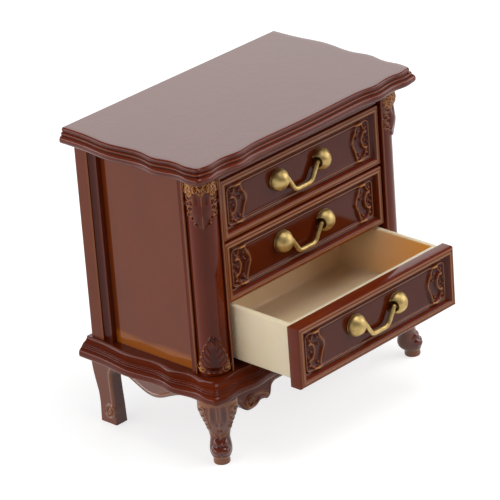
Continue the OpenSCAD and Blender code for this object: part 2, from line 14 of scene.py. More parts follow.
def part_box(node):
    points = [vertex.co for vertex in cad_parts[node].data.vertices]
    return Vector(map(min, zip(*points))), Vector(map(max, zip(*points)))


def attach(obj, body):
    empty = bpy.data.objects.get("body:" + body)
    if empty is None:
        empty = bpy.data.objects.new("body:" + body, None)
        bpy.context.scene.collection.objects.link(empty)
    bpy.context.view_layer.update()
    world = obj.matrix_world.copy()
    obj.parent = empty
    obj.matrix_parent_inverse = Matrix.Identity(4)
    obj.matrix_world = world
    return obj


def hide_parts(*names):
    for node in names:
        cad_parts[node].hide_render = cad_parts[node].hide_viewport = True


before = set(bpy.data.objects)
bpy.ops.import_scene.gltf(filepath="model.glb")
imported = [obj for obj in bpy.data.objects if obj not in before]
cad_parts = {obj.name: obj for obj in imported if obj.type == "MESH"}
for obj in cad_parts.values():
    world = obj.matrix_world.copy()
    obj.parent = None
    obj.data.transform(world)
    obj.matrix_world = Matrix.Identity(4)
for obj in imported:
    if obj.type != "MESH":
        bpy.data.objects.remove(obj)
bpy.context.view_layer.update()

bl_info = {
    "name": "Miniature chest of drawers",
    "version": (1, 0, 0),
    "blender": (4, 5, 0),
    "location": "View3D > Sidebar > Chest",
    "description": "Moulded boards, carved posts and legs, drawers and handles of a miniature chest",
    "category": "Object",
}

MM = 0.001
DRAWERS = ("top", "middle", "bottom")
SIDES = (("left", -1.0), ("right", 1.0))


def corners_mm(node):
    """Lowest and highest corner of a node, in millimetres."""
    low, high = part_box(node)
    return np.array(low) / MM, np.array(high) / MM


def case_corners(node):
    """The same corners, measured from the middle of the case."""
    low, high = corners_mm(node)
    return low - SHIFT, high - SHIFT


# Depth of the case and width of its canted corners, as the solids have them
CASE_DEPTH, CANT = 43.3, 6.8
# Sizes of the case, read from the frame
BACK_PANEL = corners_mm("back_panel")
REAR_POST = corners_mm("rear_post_left")
CASE_HALF = -REAR_POST[0][0]
CASE_Z, CASE_TOP = REAR_POST[0][2], REAR_POST[1][2]
SHIFT = np.array([0.0, BACK_PANEL[1][1] - CASE_DEPTH / 2, 0.0])
BACK_Y, FRONT_Y = CASE_DEPTH / 2, -CASE_DEPTH / 2
HEIGHT = corners_mm("top_board")[1][2]
LEG_H = corners_mm("base_board")[0][2]
CORNER_X, CORNER_Y = CASE_HALF - CANT / 2, FRONT_Y + CANT / 2
ROOT_HALF = math.sqrt(0.5)
# Plan of top and base: how far its sides, back and front lie from the middle
PLAN_HALF, PLAN_BACK, PLAN_FRONT = CASE_HALF + 1.9, BACK_Y + 0.9, -FRONT_Y + 1.6
SIDE_STEPS, CORNER_STEPS, FRONT_STEPS = 150, 16, 130
# Front edge of a rear leg, and the quarter arch that leads from it into the side apron
SEAM_Y = BACK_Y - 8.2
ARCH_R, ARCH_BAND = 3.3, 1.0
ARCH_Y, ARCH_Z = SEAM_Y + 0.8 - ARCH_R, LEG_H - ARCH_BAND - ARCH_R
# How far rear legs and side aprons stand out of the case
LEG_OUT, APRON_OUT = 1.19, 1.8
# Raised border in from the edge of an apron or leg, and (radius, share) of the softened edge
BORDER_IN = 0.8
SOFT_EDGE = (0.3, 0.98)


# Shape helpers


def bell(t, at, width):
    """A bell curve of height 1: e to the minus square of the distance from its middle in widths."""
    return np.exp(-(((t - at) / width) ** 2))


def ramp(low, high, t):
    """Smooth step from 0 at low to 1 at high: 3q^2 - 2q^3."""
    q = np.clip((t - low) / (high - low), 0.0, 1.0)
    return q * q * (3.0 - 2.0 * q)


def round_edge(d, r, share=1.0):
    """Drop of a rounded edge at a distance d in from it: a quarter circle of radius r, or nearly the whole of it."""
    return r * (1 - np.sqrt(1 - np.clip(1 - d / r, 0, 1) ** 2 * share))


def curve_through(points, steps):
    """Catmull-Rom curve: a cubic through each pair of points with the slope of their neighbours."""
    p = np.asarray(points, float)
    ends = np.vstack([2 * p[0] - p[1], p, 2 * p[-1] - p[-2]])
    a, b, c, d = ends[:-3], ends[1:-2], ends[2:-1], ends[3:]
    t = np.linspace(0, 1, steps, endpoint=False)[None, :, None]
    a, b, c, d = (q[:, None, :] for q in (a, b, c, d))
    body = 0.5 * (2 * b + (c - a) * t + (2 * a - 5 * b + 4 * c - d) * t**2 + (3 * b - a - 3 * c + d) * t**3)
    return np.vstack([body.reshape(-1, p.shape[1]), p[-1:]])


def level(z, points):
    """Value at height z of the smooth curve through (height, value, ...) points."""
    c = curve_through(points, 12)
    c = c[np.argsort(c[:, 0])]
    return [np.interp(z, c[:, 0], c[:, k]) for k in range(1, c.shape[1])]


def stroke(x, z, points, width):
    """Raised line: a bell curve of the distance to the nearest point of a smooth curve."""
    p = curve_through(points, 14)
    d2 = np.full(x.shape, 1e9)
    for px, pz in p:
        d2 = np.minimum(d2, (x - px) ** 2 + (z - pz) ** 2)
    return np.exp(-d2 / width**2)


def scroll(x, z, cx, cz, radius, turn):
    """Carved volute: a ridge along an Archimedean spiral, where radius over pitch less the angle is whole."""
    dx, dz = x - cx, z - cz
    r = np.hypot(dx, dz)
    phase = r / (radius * 0.52) - turn * np.arctan2(dz, dx) / (2 * math.pi)
    ridge = 0.5 + 0.5 * np.cos(2 * math.pi * phase)
    eye = np.exp(-((r / (0.24 * radius)) ** 2))
    return np.maximum(ridge * 0.85, eye) * ramp(radius, radius * 0.82, r)


def lace(w, z):
    """Irregular carved knots between -1 and 1: the mean of three bent cosine waves that cross at odd angles."""
    w, z = w + 0.22 * np.sin(3.1 * z + 1.7 * w), z + 0.22 * np.sin(2.7 * w - 1.3 * z)
    return (np.cos(7.6 * w + 2.4 * z) + np.cos(6.9 * z - 4.3 * w + 1.0) + np.cos(9.4 * w - 5.5 * z + 2.0)) / 3.0


def lobes(x, z, spots):
    """Small curled lobes at (x, z, radius) spots: a bell-shaped rim at each radius and a bell-shaped eye."""
    rim, eye = np.zeros(x.shape), np.zeros(x.shape)
    for sx, sz, r in spots:
        d = np.hypot(x - sx, z - sz)
        rim = np.maximum(rim, bell(d, r, 0.38 * r))
        eye = np.maximum(eye, bell(d, 0.0, 0.5 * r))
    return rim, eye


# Mesh helpers


def quads_of(index):
    """Quads between neighbours of a grid of vertex numbers."""
    return np.stack([index[:-1, :-1], index[1:, :-1], index[1:, 1:], index[:-1, 1:]], -1).reshape(-1, 4)


def slab(front, back):
    """Closed slab between two grids of the same shape: both faces and the strips round their edge."""
    nu, nv = front.shape[:2]
    top = np.arange(nu * nv).reshape(nu, nv)
    under = top + nu * nv
    loop = np.concatenate([top[:, 0], top[-1, 1:], top[-2::-1, -1], top[0, -2:0:-1]])
    after = np.roll(loop, -1)
    rim = np.stack([after, loop, loop + nu * nv, after + nu * nv], -1)
    verts = np.concatenate([front.reshape(-1, 3), back.reshape(-1, 3)])
    return verts, np.concatenate([quads_of(top), quads_of(under)[:, ::-1], rim]), []


def rings(grid):
    """Closed solid through rings of points: quads from ring to ring and a flat cap at each end."""
    m, n = grid.shape[:2]
    index = np.arange(m * n).reshape(m, n)
    wide = np.concatenate([index, index[:, :1]], 1)
    quads = np.stack([wide[:-1, :-1], wide[:-1, 1:], wide[1:, 1:], wide[1:, :-1]], -1).reshape(-1, 4)
    return grid.reshape(-1, 3), quads, [index[0, ::-1].tolist(), index[-1].tolist()]


def board(grid):
    """Closed board from a moulding grid (outline by profile), with a flat top, underside and back."""
    n, m = grid.shape[:2]
    index = np.arange(n * m).reshape(n, m)
    back = np.stack([index[0, :-1], index[0, 1:], index[-1, 1:], index[-1, :-1]], -1)
    flat = [index[::-1, 0].tolist(), index[:, -1].tolist()]
    return grid.reshape(-1, 3), np.concatenate([quads_of(index), back]), flat


def volume(verts, quads):
    """Six times the signed volume in the quads: the sum of the triple products of their two triangles."""
    a, b, c, d = (verts[quads[:, k]] for k in range(4))
    return np.einsum("ij,ij->", a, np.cross(b, c)) + np.einsum("ij,ij->", a, np.cross(c, d))


def make_mesh(name, shape, tone_and_shade=None, sharp=40.0):
    """Mesh of a shape in case millimetres, faces outward, smooth but for edges over the sharp angle."""
    verts, quads, more = shape
    middle = verts.mean(0)
    if volume(verts - middle, quads) < 0:
        quads = quads[:, ::-1]
        more = [f[::-1] for f in more]
    mesh = bpy.data.meshes.new(name)
    mesh.from_pydata(((verts + SHIFT) * MM).tolist(), [], quads.tolist() + more)
    # The tone attribute holds painted shade in hollows and painted highlight on crests, as well as the plastic's own
    # amber edges.
    value = np.full(len(verts), 0.5) if tone_and_shade is None else np.clip(tone_and_shade, 0, 1)
    layer = mesh.attributes.new("tone_and_shade", "FLOAT", "POINT")
    layer.data.foreach_set("value", value.astype(np.float32))
    mesh.shade_smooth()
    mesh.set_sharp_from_angle(angle=math.radians(sharp))
    return mesh


def add_piece(name, shape, body, nodes, material, tone_and_shade=None, sharp=40.0):
    """New piece from a shape: rides on a body, stands for nodes and takes a material slot."""
    obj = bpy.data.objects.new(name, make_mesh(name, shape, tone_and_shade, sharp))
    bpy.context.scene.collection.objects.link(obj)
    obj.data.materials.append(material)
    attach(obj, body)
    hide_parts(*nodes)
    return obj


def mirrored(shape, side):
    """The left-hand shape, or its mirror image for the right."""
    verts, quads, more = shape
    return (verts * np.array([-side, 1, 1]), quads, more) if side > 0 else shape


def add_pair(name, node, shape, finish, tone_and_shade, sharp=40.0):
    """The left-hand piece and its mirror image on the case; {} in a name stands for the side."""
    for label, side in SIDES:
        add_piece(
            name.format(label), mirrored(shape, side), "case", [node.format(label)], finish_of(finish),
            tone_and_shade, sharp)


def two_faces(tone, behind):
    """Tones of a slab: those of its front, and one tone for its back."""
    return np.concatenate([tone.reshape(-1), np.full(tone.size, behind)])


# Plan of the top and the base


def side_wave(t, lobe):
    """Swell of a side at a share t from the back: three bell curves, the front ones narrower."""
    return lobe * (bell(t, 0.37, 0.15) + 0.95 * bell(t, 0.715, 0.085) + 0.5 * bell(t, 0.95, 0.06))


def front_wave(s, lobe):
    """Swell of the front at a share s from its middle: three bell curves."""
    return lobe * (bell(s, 0.66, 0.1) + 0.55 * bell(s, 0, 0.35) + 0.7 * bell(s, 0.93, 0.07))


def moulding(profile, z_top, sizes):
    """Grid of a moulding: the profile (out, up) carried round the serpentine plan.

    The plan's sides swell by bell-shaped lobes, the corner is a quarter circle, and the front swells by lobes
    of its own. A step out of o moves every point of the plan out by o.
    """
    side, front, r = sizes.side_lobe / MM, sizes.front_lobe / MM, sizes.corner_r / MM
    o = profile[:, 0][None, :]
    t = np.linspace(0, 1, SIDE_STEPS)[:, None]
    end = side_wave(1.0, side)
    sx = PLAN_HALF + o + side_wave(t, side)
    sy = PLAN_BACK - t * (PLAN_BACK + PLAN_FRONT + o - r)
    q = np.linspace(0, 1, CORNER_STEPS)[1:-1, None]
    a = q * math.pi / 2
    cx = PLAN_HALF + o + end - r * (1 - np.cos(a))
    cy = -PLAN_FRONT - o - front_wave(1.0, front) * q + r * (1 - np.sin(a))
    s = np.linspace(1, 0, FRONT_STEPS)[:, None]
    fx = s * (PLAN_HALF + o + end - r)
    fy = -PLAN_FRONT - o - front_wave(s, front)
    x, y = np.vstack([sx, cx, fx]), np.vstack([sy, cy, fy])
    x, y = np.vstack([x, -x[-2::-1]]), np.vstack([y, y[-2::-1]])
    z = np.broadcast_to(z_top + profile[:, 1][None, :], x.shape)
    return np.stack([x, y, z], -1)


# Profiles as (out, up, tone): low tones paint shade in the grooves, and high tones on beads and the base's lower rim
# are partly amber edge and partly a painted highlight.
TOP_PROFILE = (
    (-1.2, 0.0, 0.36), (-0.12, 0.0, 0.36), (0.1, -0.03, 0.4), (0.3, -0.13, 0.46), (0.44, -0.32, 0.44),
    (0.5, -0.6, 0.4), (0.46, -0.84, 0.34), (0.3, -0.98, 0.18), (0.34, -1.12, 0.22), (0.62, -1.2, 0.46),
    (0.86, -1.36, 0.56), (0.9, -1.56, 0.5), (0.74, -1.74, 0.25), (0.72, -1.86, 0.18), (0.98, -2.0, 0.36),
    (1.3, -2.22, 0.46), (1.52, -2.55, 0.46), (1.59, -2.95, 0.44), (1.55, -3.35, 0.42), (1.36, -3.68, 0.42),
    (1.05, -3.93, 0.4), (0.7, -4.0, 0.35), (-0.6, -4.0, 0.3),
)
BASE_PROFILE = (
    (-2.2, 0.0, 0.4), (-1.24, 0.0, 0.4), (-1.16, -0.28, 0.4), (-0.96, -0.62, 0.4), (-0.6, -0.98, 0.42),
    (-0.12, -1.24, 0.44), (0.26, -1.36, 0.5), (0.36, -1.44, 0.3), (0.38, -1.54, 0.25), (0.56, -1.6, 0.46),
    (0.68, -1.74, 0.4), (0.68, -1.84, 0.2), (0.74, -1.92, 0.25), (0.92, -1.98, 0.46), (1.04, -2.12, 0.4),
    (1.04, -2.22, 0.2), (1.12, -2.3, 0.28), (1.4, -2.42, 0.4), (1.72, -2.7, 0.42), (1.96, -3.08, 0.44),
    (2.05, -3.5, 0.42), (2.07, -3.86, 0.44), (2.02, -4.2, 0.5), (1.9, -4.5, 0.68), (1.66, -4.7, 0.6),
    (1.2, -4.8, 0.3), (-0.6, -4.8, 0.3),
)


def moulded_board(points, z_top, sizes):
    """Board and tones of a moulded edge; the first and last profile points stay put for flat faces."""
    p = np.asarray(points)
    fine = np.vstack([p[:1], curve_through(p[1:-1], 4), p[-1:]])
    grid = moulding(fine, z_top, sizes)
    tone_and_shade = np.broadcast_to(fine[:, 2][None, :], grid.shape[:2])
    return board(grid), tone_and_shade.reshape(-1)


# Materials


BLACK, WHITE = (0.0, 0.0, 0.0), (1.0, 1.0, 1.0)


class FinishNodes:
    """New material with an empty node tree, and a short call for each kind of node in use."""

    def __init__(self, name):
        self.material = bpy.data.materials.new(name)
        self.material.use_nodes = True
        self.tree = self.material.node_tree
        self.tree.nodes.clear()

    def add(self, kind, **values):
        """A node, with its sockets or settings given by name."""
        node = self.tree.nodes.new(kind)
        for key, value in values.items():
            if key in node.inputs:
                node.inputs[key].default_value = value
            else:
                setattr(node, key, value)
        return node

    def link(self, source, target):
        """A link from an output to an input."""
        self.tree.links.new(source, target)

    def place(self):
        """Object coordinates."""
        return self.add("ShaderNodeTexCoord").outputs["Object"]

    def tone_and_shade(self):
        """The tone attribute: low where shade is painted in hollows, 0.5 on plain faces, up to 1 on crests (amber,
        partly a painted highlight).
        """
        return self.add("ShaderNodeAttribute", attribute_name="tone_and_shade").outputs["Fac"]

    def colour(self, value):
        """A single colour."""
        node = self.add("ShaderNodeRGB")
        node.outputs[0].default_value = (*value, 1.0)
        return node.outputs[0]

    def noise(self, place, **values):
        """Noise laid on the piece by coordinates."""
        node = self.add("ShaderNodeTexNoise", **values)
        self.link(place, node.inputs["Vector"])
        return node.outputs["Fac"]

    def ramp(self, factor, *stops):
        """Colours of a ramp through (position, colour) stops, read at a factor."""
        node = self.add("ShaderNodeValToRGB")
        band = node.color_ramp
        while len(band.elements) < len(stops):
            band.elements.new(0.5)
        for element, (at, colour) in zip(band.elements, stops):
            element.position = at
            element.color = (*colour, 1.0)
        self.link(factor, node.inputs["Fac"])
        return node.outputs["Color"]

    def mix(self, factor, first, second, blend="MIX"):
        """Mix of two colours by a factor, which is a socket or a number."""
        node = self.add("ShaderNodeMix", data_type="RGBA", blend_type=blend)
        if isinstance(factor, float):
            node.inputs[0].default_value = factor
        else:
            self.link(factor, node.inputs[0])
        # The node has a pair of inputs for each kind of value: 6 and 7 are the colours, and output 2
        self.link(first, node.inputs[6])
        self.link(second, node.inputs[7])
        return node.outputs[2]

    def span(self, factor, **values):
        """A factor carried from one range to another: From Min, From Max, To Min and To Max."""
        node = self.add("ShaderNodeMapRange")
        for key, value in values.items():
            node.inputs[key.replace("_", " ")].default_value = value
        self.link(factor, node.inputs["Value"])
        return node.outputs["Result"]

    def times_plus(self, factor, times, plus):
        """A factor times a number, plus another factor."""
        node = self.add("ShaderNodeMath", operation="MULTIPLY_ADD")
        node.inputs[1].default_value = times
        self.link(factor, node.inputs[0])
        self.link(plus, node.inputs[2])
        return node.outputs[0]

    def larger(self, first, second):
        """The larger of two factors."""
        node = self.add("ShaderNodeMath", operation="MAXIMUM")
        self.link(first, node.inputs[0])
        self.link(second, node.inputs[1])
        return node.outputs[0]

    def surface(self, colour, roughness, bumps, constants):
        """The finished material: a colour, a roughness, (height, strength, distance) bumps and plain constants."""
        height, strength, distance = bumps
        bump = self.add("ShaderNodeBump", Strength=strength, Distance=distance)
        self.link(height, bump.inputs["Height"])
        shader = self.add("ShaderNodeBsdfPrincipled", **constants)
        self.link(colour, shader.inputs["Base Color"])
        self.link(roughness, shader.inputs["Roughness"])
        self.link(bump.outputs["Normal"], shader.inputs["Normal"])
        self.link(shader.outputs["BSDF"], self.add("ShaderNodeOutputMaterial").inputs["Surface"])
        return self.material


def brown_plastic(name, tones, carved, gloss, painted_foot_reflection):
    """Glossy amber-brown plastic: cloudy tone, flow marks, painted shade in carved hollows, crests partly amber and
    partly a painted highlight, and a painted reflection of the base glowing up from the foot.
    """
    n = FinishNodes(name)
    place = n.place()
    cloud = n.noise(place, Scale=55.0, Detail=3.0, Roughness=0.55)
    flow = n.noise(place, Scale=210.0, Detail=4.0, Roughness=0.6, Distortion=0.6)
    skin = n.noise(place, Scale=420.0, Detail=2.0, Roughness=0.5)
    base = n.ramp(cloud, (0.3, tones.brown_deep), (0.72, tones.brown_mid))
    flows = n.ramp(flow, (0.3, (0.95, 0.94, 0.94)), (0.7, (1.04, 1.03, 1.02)))
    colour = n.mix(1.0, base, flows, "MULTIPLY")
    roughness = n.span(flow, To_Min=0.05, To_Max=0.11)
    if carved:
        tone_and_shade = n.tone_and_shade()
        # Crests turn amber, partly the thin plastic's own colour and partly a painted highlight; hollows darken to a
        # painted shade.
        crest = n.ramp(tone_and_shade, (0.52, BLACK), (0.95, WHITE))
        hollow = n.ramp(tone_and_shade, (0.08, BLACK), (0.48, WHITE))
        colour = n.mix(hollow, n.colour(tones.brown_hollow_shade), colour)
        colour = n.mix(crest, colour, n.colour(tones.brown_amber))
        roughness = n.times_plus(crest, 0.12, roughness)
    if painted_foot_reflection:
        # Painted reflection of the base: an amber glow at the foot of the side panels, faint over the whole panel.
        axes = n.add("ShaderNodeSeparateXYZ")
        n.link(place, axes.inputs[0])
        wander = n.times_plus(cloud, 4.0 * MM, axes.outputs["Z"])
        foot_reflection_mix = n.span(wander, From_Min=28.3 * MM, From_Max=27.0 * MM, To_Min=0.13, To_Max=0.65)
        colour = n.mix(foot_reflection_mix, colour, n.colour(tones.brown_foot_reflection))
    return n.surface(colour, roughness, (skin, 0.035, 0.0004), {"Specular IOR Level": gloss})


def ivory_plastic(name, tones):
    """Satin ivory plastic, a little cloudy, with faint moulding scuffs; low tones paint an amber glow and shade inside
    the tray.
    """
    n = FinishNodes(name)
    place, tone_and_shade = n.place(), n.tone_and_shade()
    cloud = n.noise(place, Scale=60.0, Detail=3.0, Roughness=0.6)
    base = n.ramp(cloud, (0.3, tones.ivory_warm), (0.7, tones.ivory))
    # Painted light inside the tray: the lowest tones give a painted amber glow, the floor's tones a painted shade.
    inside = n.ramp(tone_and_shade, (0.0, tones.ivory_painted_glow), (0.3, tones.ivory_floor_shade), (0.5, tones.ivory))
    outer = n.ramp(tone_and_shade, (0.36, BLACK), (0.5, WHITE))
    colour = n.mix(outer, inside, base)
    stretch = n.add("ShaderNodeMapping", Scale=(1400.0, 160.0, 1400.0))
    n.link(place, stretch.inputs["Vector"])
    scuff = n.noise(stretch.outputs["Vector"], Scale=1.0, Detail=3.0, Roughness=0.6)
    roughness = n.span(scuff, To_Min=0.3, To_Max=0.46)
    return n.surface(colour, roughness, (scuff, 0.05, 0.0002), {
        "Subsurface Weight": 0.3, "Subsurface Radius": (1.0, 0.6, 0.25), "Subsurface Scale": 0.002})


def satin_gold(name, tones):
    """Satin gold plating: mottled tone and roughness, with painted shade towards the foot of each piece and in a boss's
    pocket.
    """
    n = FinishNodes(name)
    place, tone_and_shade = n.place(), n.tone_and_shade()
    cloud = n.noise(place, Scale=520.0, Detail=3.0, Roughness=0.6)
    grain = n.noise(place, Scale=2600.0, Detail=2.0, Roughness=0.6)
    base = n.ramp(cloud, (0.3, tones.gold_dark), (0.62, tones.gold))
    # Painted shade: low tones darken to dark gold, and to the hollow shade in a boss's pocket.
    shade = n.ramp(tone_and_shade, (0.02, tones.gold_hollow_shade), (0.16, tones.gold_dark))
    foot = n.ramp(tone_and_shade, (0.12, BLACK), (0.5, WHITE))
    colour = n.mix(foot, shade, base)
    roughness = n.span(cloud, To_Min=0.38, To_Max=0.55)
    return n.surface(colour, roughness, (grain, 0.12, 0.0001), {"Metallic": 1.0})


FINISHES = {}
# How a brown finish is made: (carved, gloss, painted reflection of the base at the foot)
BROWNS = {
    "carved_brown": (True, 0.2, False), "board_brown": (True, 0.33, False), "dull_brown": (True, 0.22, False),
    "low_brown": (True, 0.5, False), "apron_brown": (True, 0.85, False), "plain_brown": (False, 0.42, False),
    "panel_brown": (False, 0.31, True),
}


def finish_of(name):
    """The finish of that name, made once from the scene's colours."""
    if name not in FINISHES:
        tones = bpy.context.scene.chest_tones
        if name in BROWNS:
            FINISHES[name] = brown_plastic(name, tones, *BROWNS[name])
        else:
            FINISHES[name] = {"ivory": ivory_plastic, "gold": satin_gold}[name](name, tones)
    return FINISHES[name]


# Settings


class ChestSizes(bpy.types.PropertyGroup):
    side_lobe: FloatProperty(
        name="Side lobe", description="Swell of the lobes along the sides of top and base",
        default=1.1 * MM, unit="LENGTH", precision=5)
    front_lobe: FloatProperty(
        name="Front lobe", description="Swell of the lobes along the front of top and base",
        default=0.8 * MM, unit="LENGTH", precision=5)
    corner_r: FloatProperty(
        name="Corner", description="Radius of the front corners in plan", default=1.4 * MM, unit="LENGTH", precision=5)
    carve_depth: FloatProperty(
        name="Carving", description="Height of the carved leaves on the posts and legs",
        default=0.9 * MM, unit="LENGTH", precision=5)
    frame_w: FloatProperty(
        name="Drawer frame", description="Width of the raised frame of a drawer front",
        default=2.6 * MM, unit="LENGTH", precision=5)
    sunk: FloatProperty(
        name="Sunk panel", description="Depth of the panel inside a drawer's frame",
        default=1.3 * MM, unit="LENGTH", precision=5)
    bead_h: FloatProperty(
        name="Panel bead", description="Height of the thin bead round a drawer's panel",
        default=0.42 * MM, unit="LENGTH", precision=5)
    tray_t: FloatProperty(
        name="Tray wall", description="Wall thickness of a drawer tray", default=1.5 * MM, unit="LENGTH", precision=5)
    bail_r: FloatProperty(
        name="Bail rod", description="Radius of the rod of a bail", default=0.62 * MM, unit="LENGTH", precision=5)


class ChestTones(bpy.types.PropertyGroup):
    brown_mid: FloatVectorProperty(
        name="Brown", description="Plastic on flat faces", subtype="COLOR", default=(0.155, 0.02, 0.0036))
    brown_deep: FloatVectorProperty(
        name="Deep brown", description="Darker clouds in the plastic", subtype="COLOR", default=(0.125, 0.0155, 0.0032))
    # Painted shade: the colour that carved hollows darken to.
    brown_hollow_shade: FloatVectorProperty(
        name="Hollows", description="Plastic in carved hollows", subtype="COLOR", default=(0.05, 0.006, 0.0025))
    # Amber crests and edges: partly the thin plastic's own colour, partly a painted highlight.
    brown_amber: FloatVectorProperty(
        name="Amber", description="Plastic on thin crests and edges", subtype="COLOR", default=(0.60, 0.26, 0.075))
    # Painted reflection of the base on the foot of the side panels, as an amber glow.
    brown_foot_reflection: FloatVectorProperty(
        name="Glow", description="Foot of the side panels, where light comes through", subtype="COLOR",
        default=(0.43, 0.12, 0.006))
    ivory: FloatVectorProperty(
        name="Ivory", description="Drawer trays", subtype="COLOR", default=(0.86, 0.74, 0.53))
    ivory_warm: FloatVectorProperty(
        name="Warm ivory", description="Warmer clouds in the trays", subtype="COLOR", default=(0.82, 0.68, 0.46))
    # Painted amber glow on the inside walls of the trays.
    ivory_painted_glow: FloatVectorProperty(
        name="Amber ivory", description="Inside walls of the trays", subtype="COLOR", default=(0.98, 0.46, 0.05))
    # Painted shade on the floor of the trays.
    ivory_floor_shade: FloatVectorProperty(
        name="Tray floor", description="Floor of the trays", subtype="COLOR", default=(0.88, 0.68, 0.44))
    gold: FloatVectorProperty(
        name="Gold", description="Handles", subtype="COLOR", default=(0.60, 0.44, 0.18))
    gold_dark: FloatVectorProperty(
        name="Dark gold", description="Worn and shaded gold", subtype="COLOR", default=(0.36, 0.235, 0.08))
    # Painted shade in a boss's hollow round its pin.
    gold_hollow_shade: FloatVectorProperty(
        name="Gold hollow", description="Hollow of a boss round its pin", subtype="COLOR", default=(0.12, 0.06, 0.02))
    ground: FloatVectorProperty(
        name="Ground", description="Floor under the chest", subtype="COLOR", default=(0.5, 0.5, 0.5))


class BuildTop(bpy.types.Operator):
    """Top board: a moulding of a round edge, a bead and an ogee carried round a serpentine plan"""

    bl_idname = "chest.top_board"
    bl_label = "Top board"

    def execute(self, context):
        shape, tone_and_shade = moulded_board(TOP_PROFILE, HEIGHT, context.scene.chest_sizes)
        add_piece("top", shape, "case", ["top_board"], finish_of("board_brown"), tone_and_shade, 50)
        return {"FINISHED"}


class BuildBase(bpy.types.Operator):
    """Base board: a stepped and coved moulding carried round the same plan"""

    bl_idname = "chest.base_board"
    bl_label = "Base board"

    def execute(self, context):
        shape, tone_and_shade = moulded_board(BASE_PROFILE, CASE_Z, context.scene.chest_sizes)
        add_piece("base", shape, "case", ["base_board"], finish_of("carved_brown"), tone_and_shade, 50)
        return {"FINISHED"}


class BuildRearPosts(bpy.types.Operator):
    """Rear posts: a plan profile with a rounded corner and a scooped flute, drawn up the case"""

    bl_idname = "chest.rear_posts"
    bl_label = "Rear posts"

    def execute(self, context):
        y0 = REAR_POST[0][1] - SHIFT[1]
        y = np.linspace(y0, BACK_Y, 110)[:, None]
        z = np.linspace(CASE_Z, CASE_TOP, 5)[None, :]
        flute = np.sqrt(np.clip(1.65**2 - (y - y0 - 1.7) ** 2, 0, None)) * 0.7
        corner = round_edge(BACK_Y - y, 0.5)
        arris = 0.1 * bell(y, y0 + 3.5, 0.16)
        depth = flute + corner + arris
        shape_y, shape_z = np.broadcast_arrays(y, z)
        front = np.stack([-CASE_HALF + depth + 0 * z, shape_y, shape_z], -1)
        back = np.stack([np.full(shape_y.shape, REAR_POST[1][0]), shape_y, shape_z], -1)
        # Painted shade in the flute, and a lighter line on the arris that is partly amber edge and partly a painted
        # highlight.
        tone = 0.54 - 0.26 * ramp(0.0, 0.5, flute) + 0.08 * bell(y, y0 + 3.6, 0.25)
        tone = two_faces(np.broadcast_to(tone, shape_y.shape), 0.45)
        add_pair("rear_post_{}_fluted", "rear_post_{}", slab(front, back), "dull_brown", tone)
        return {"FINISHED"}


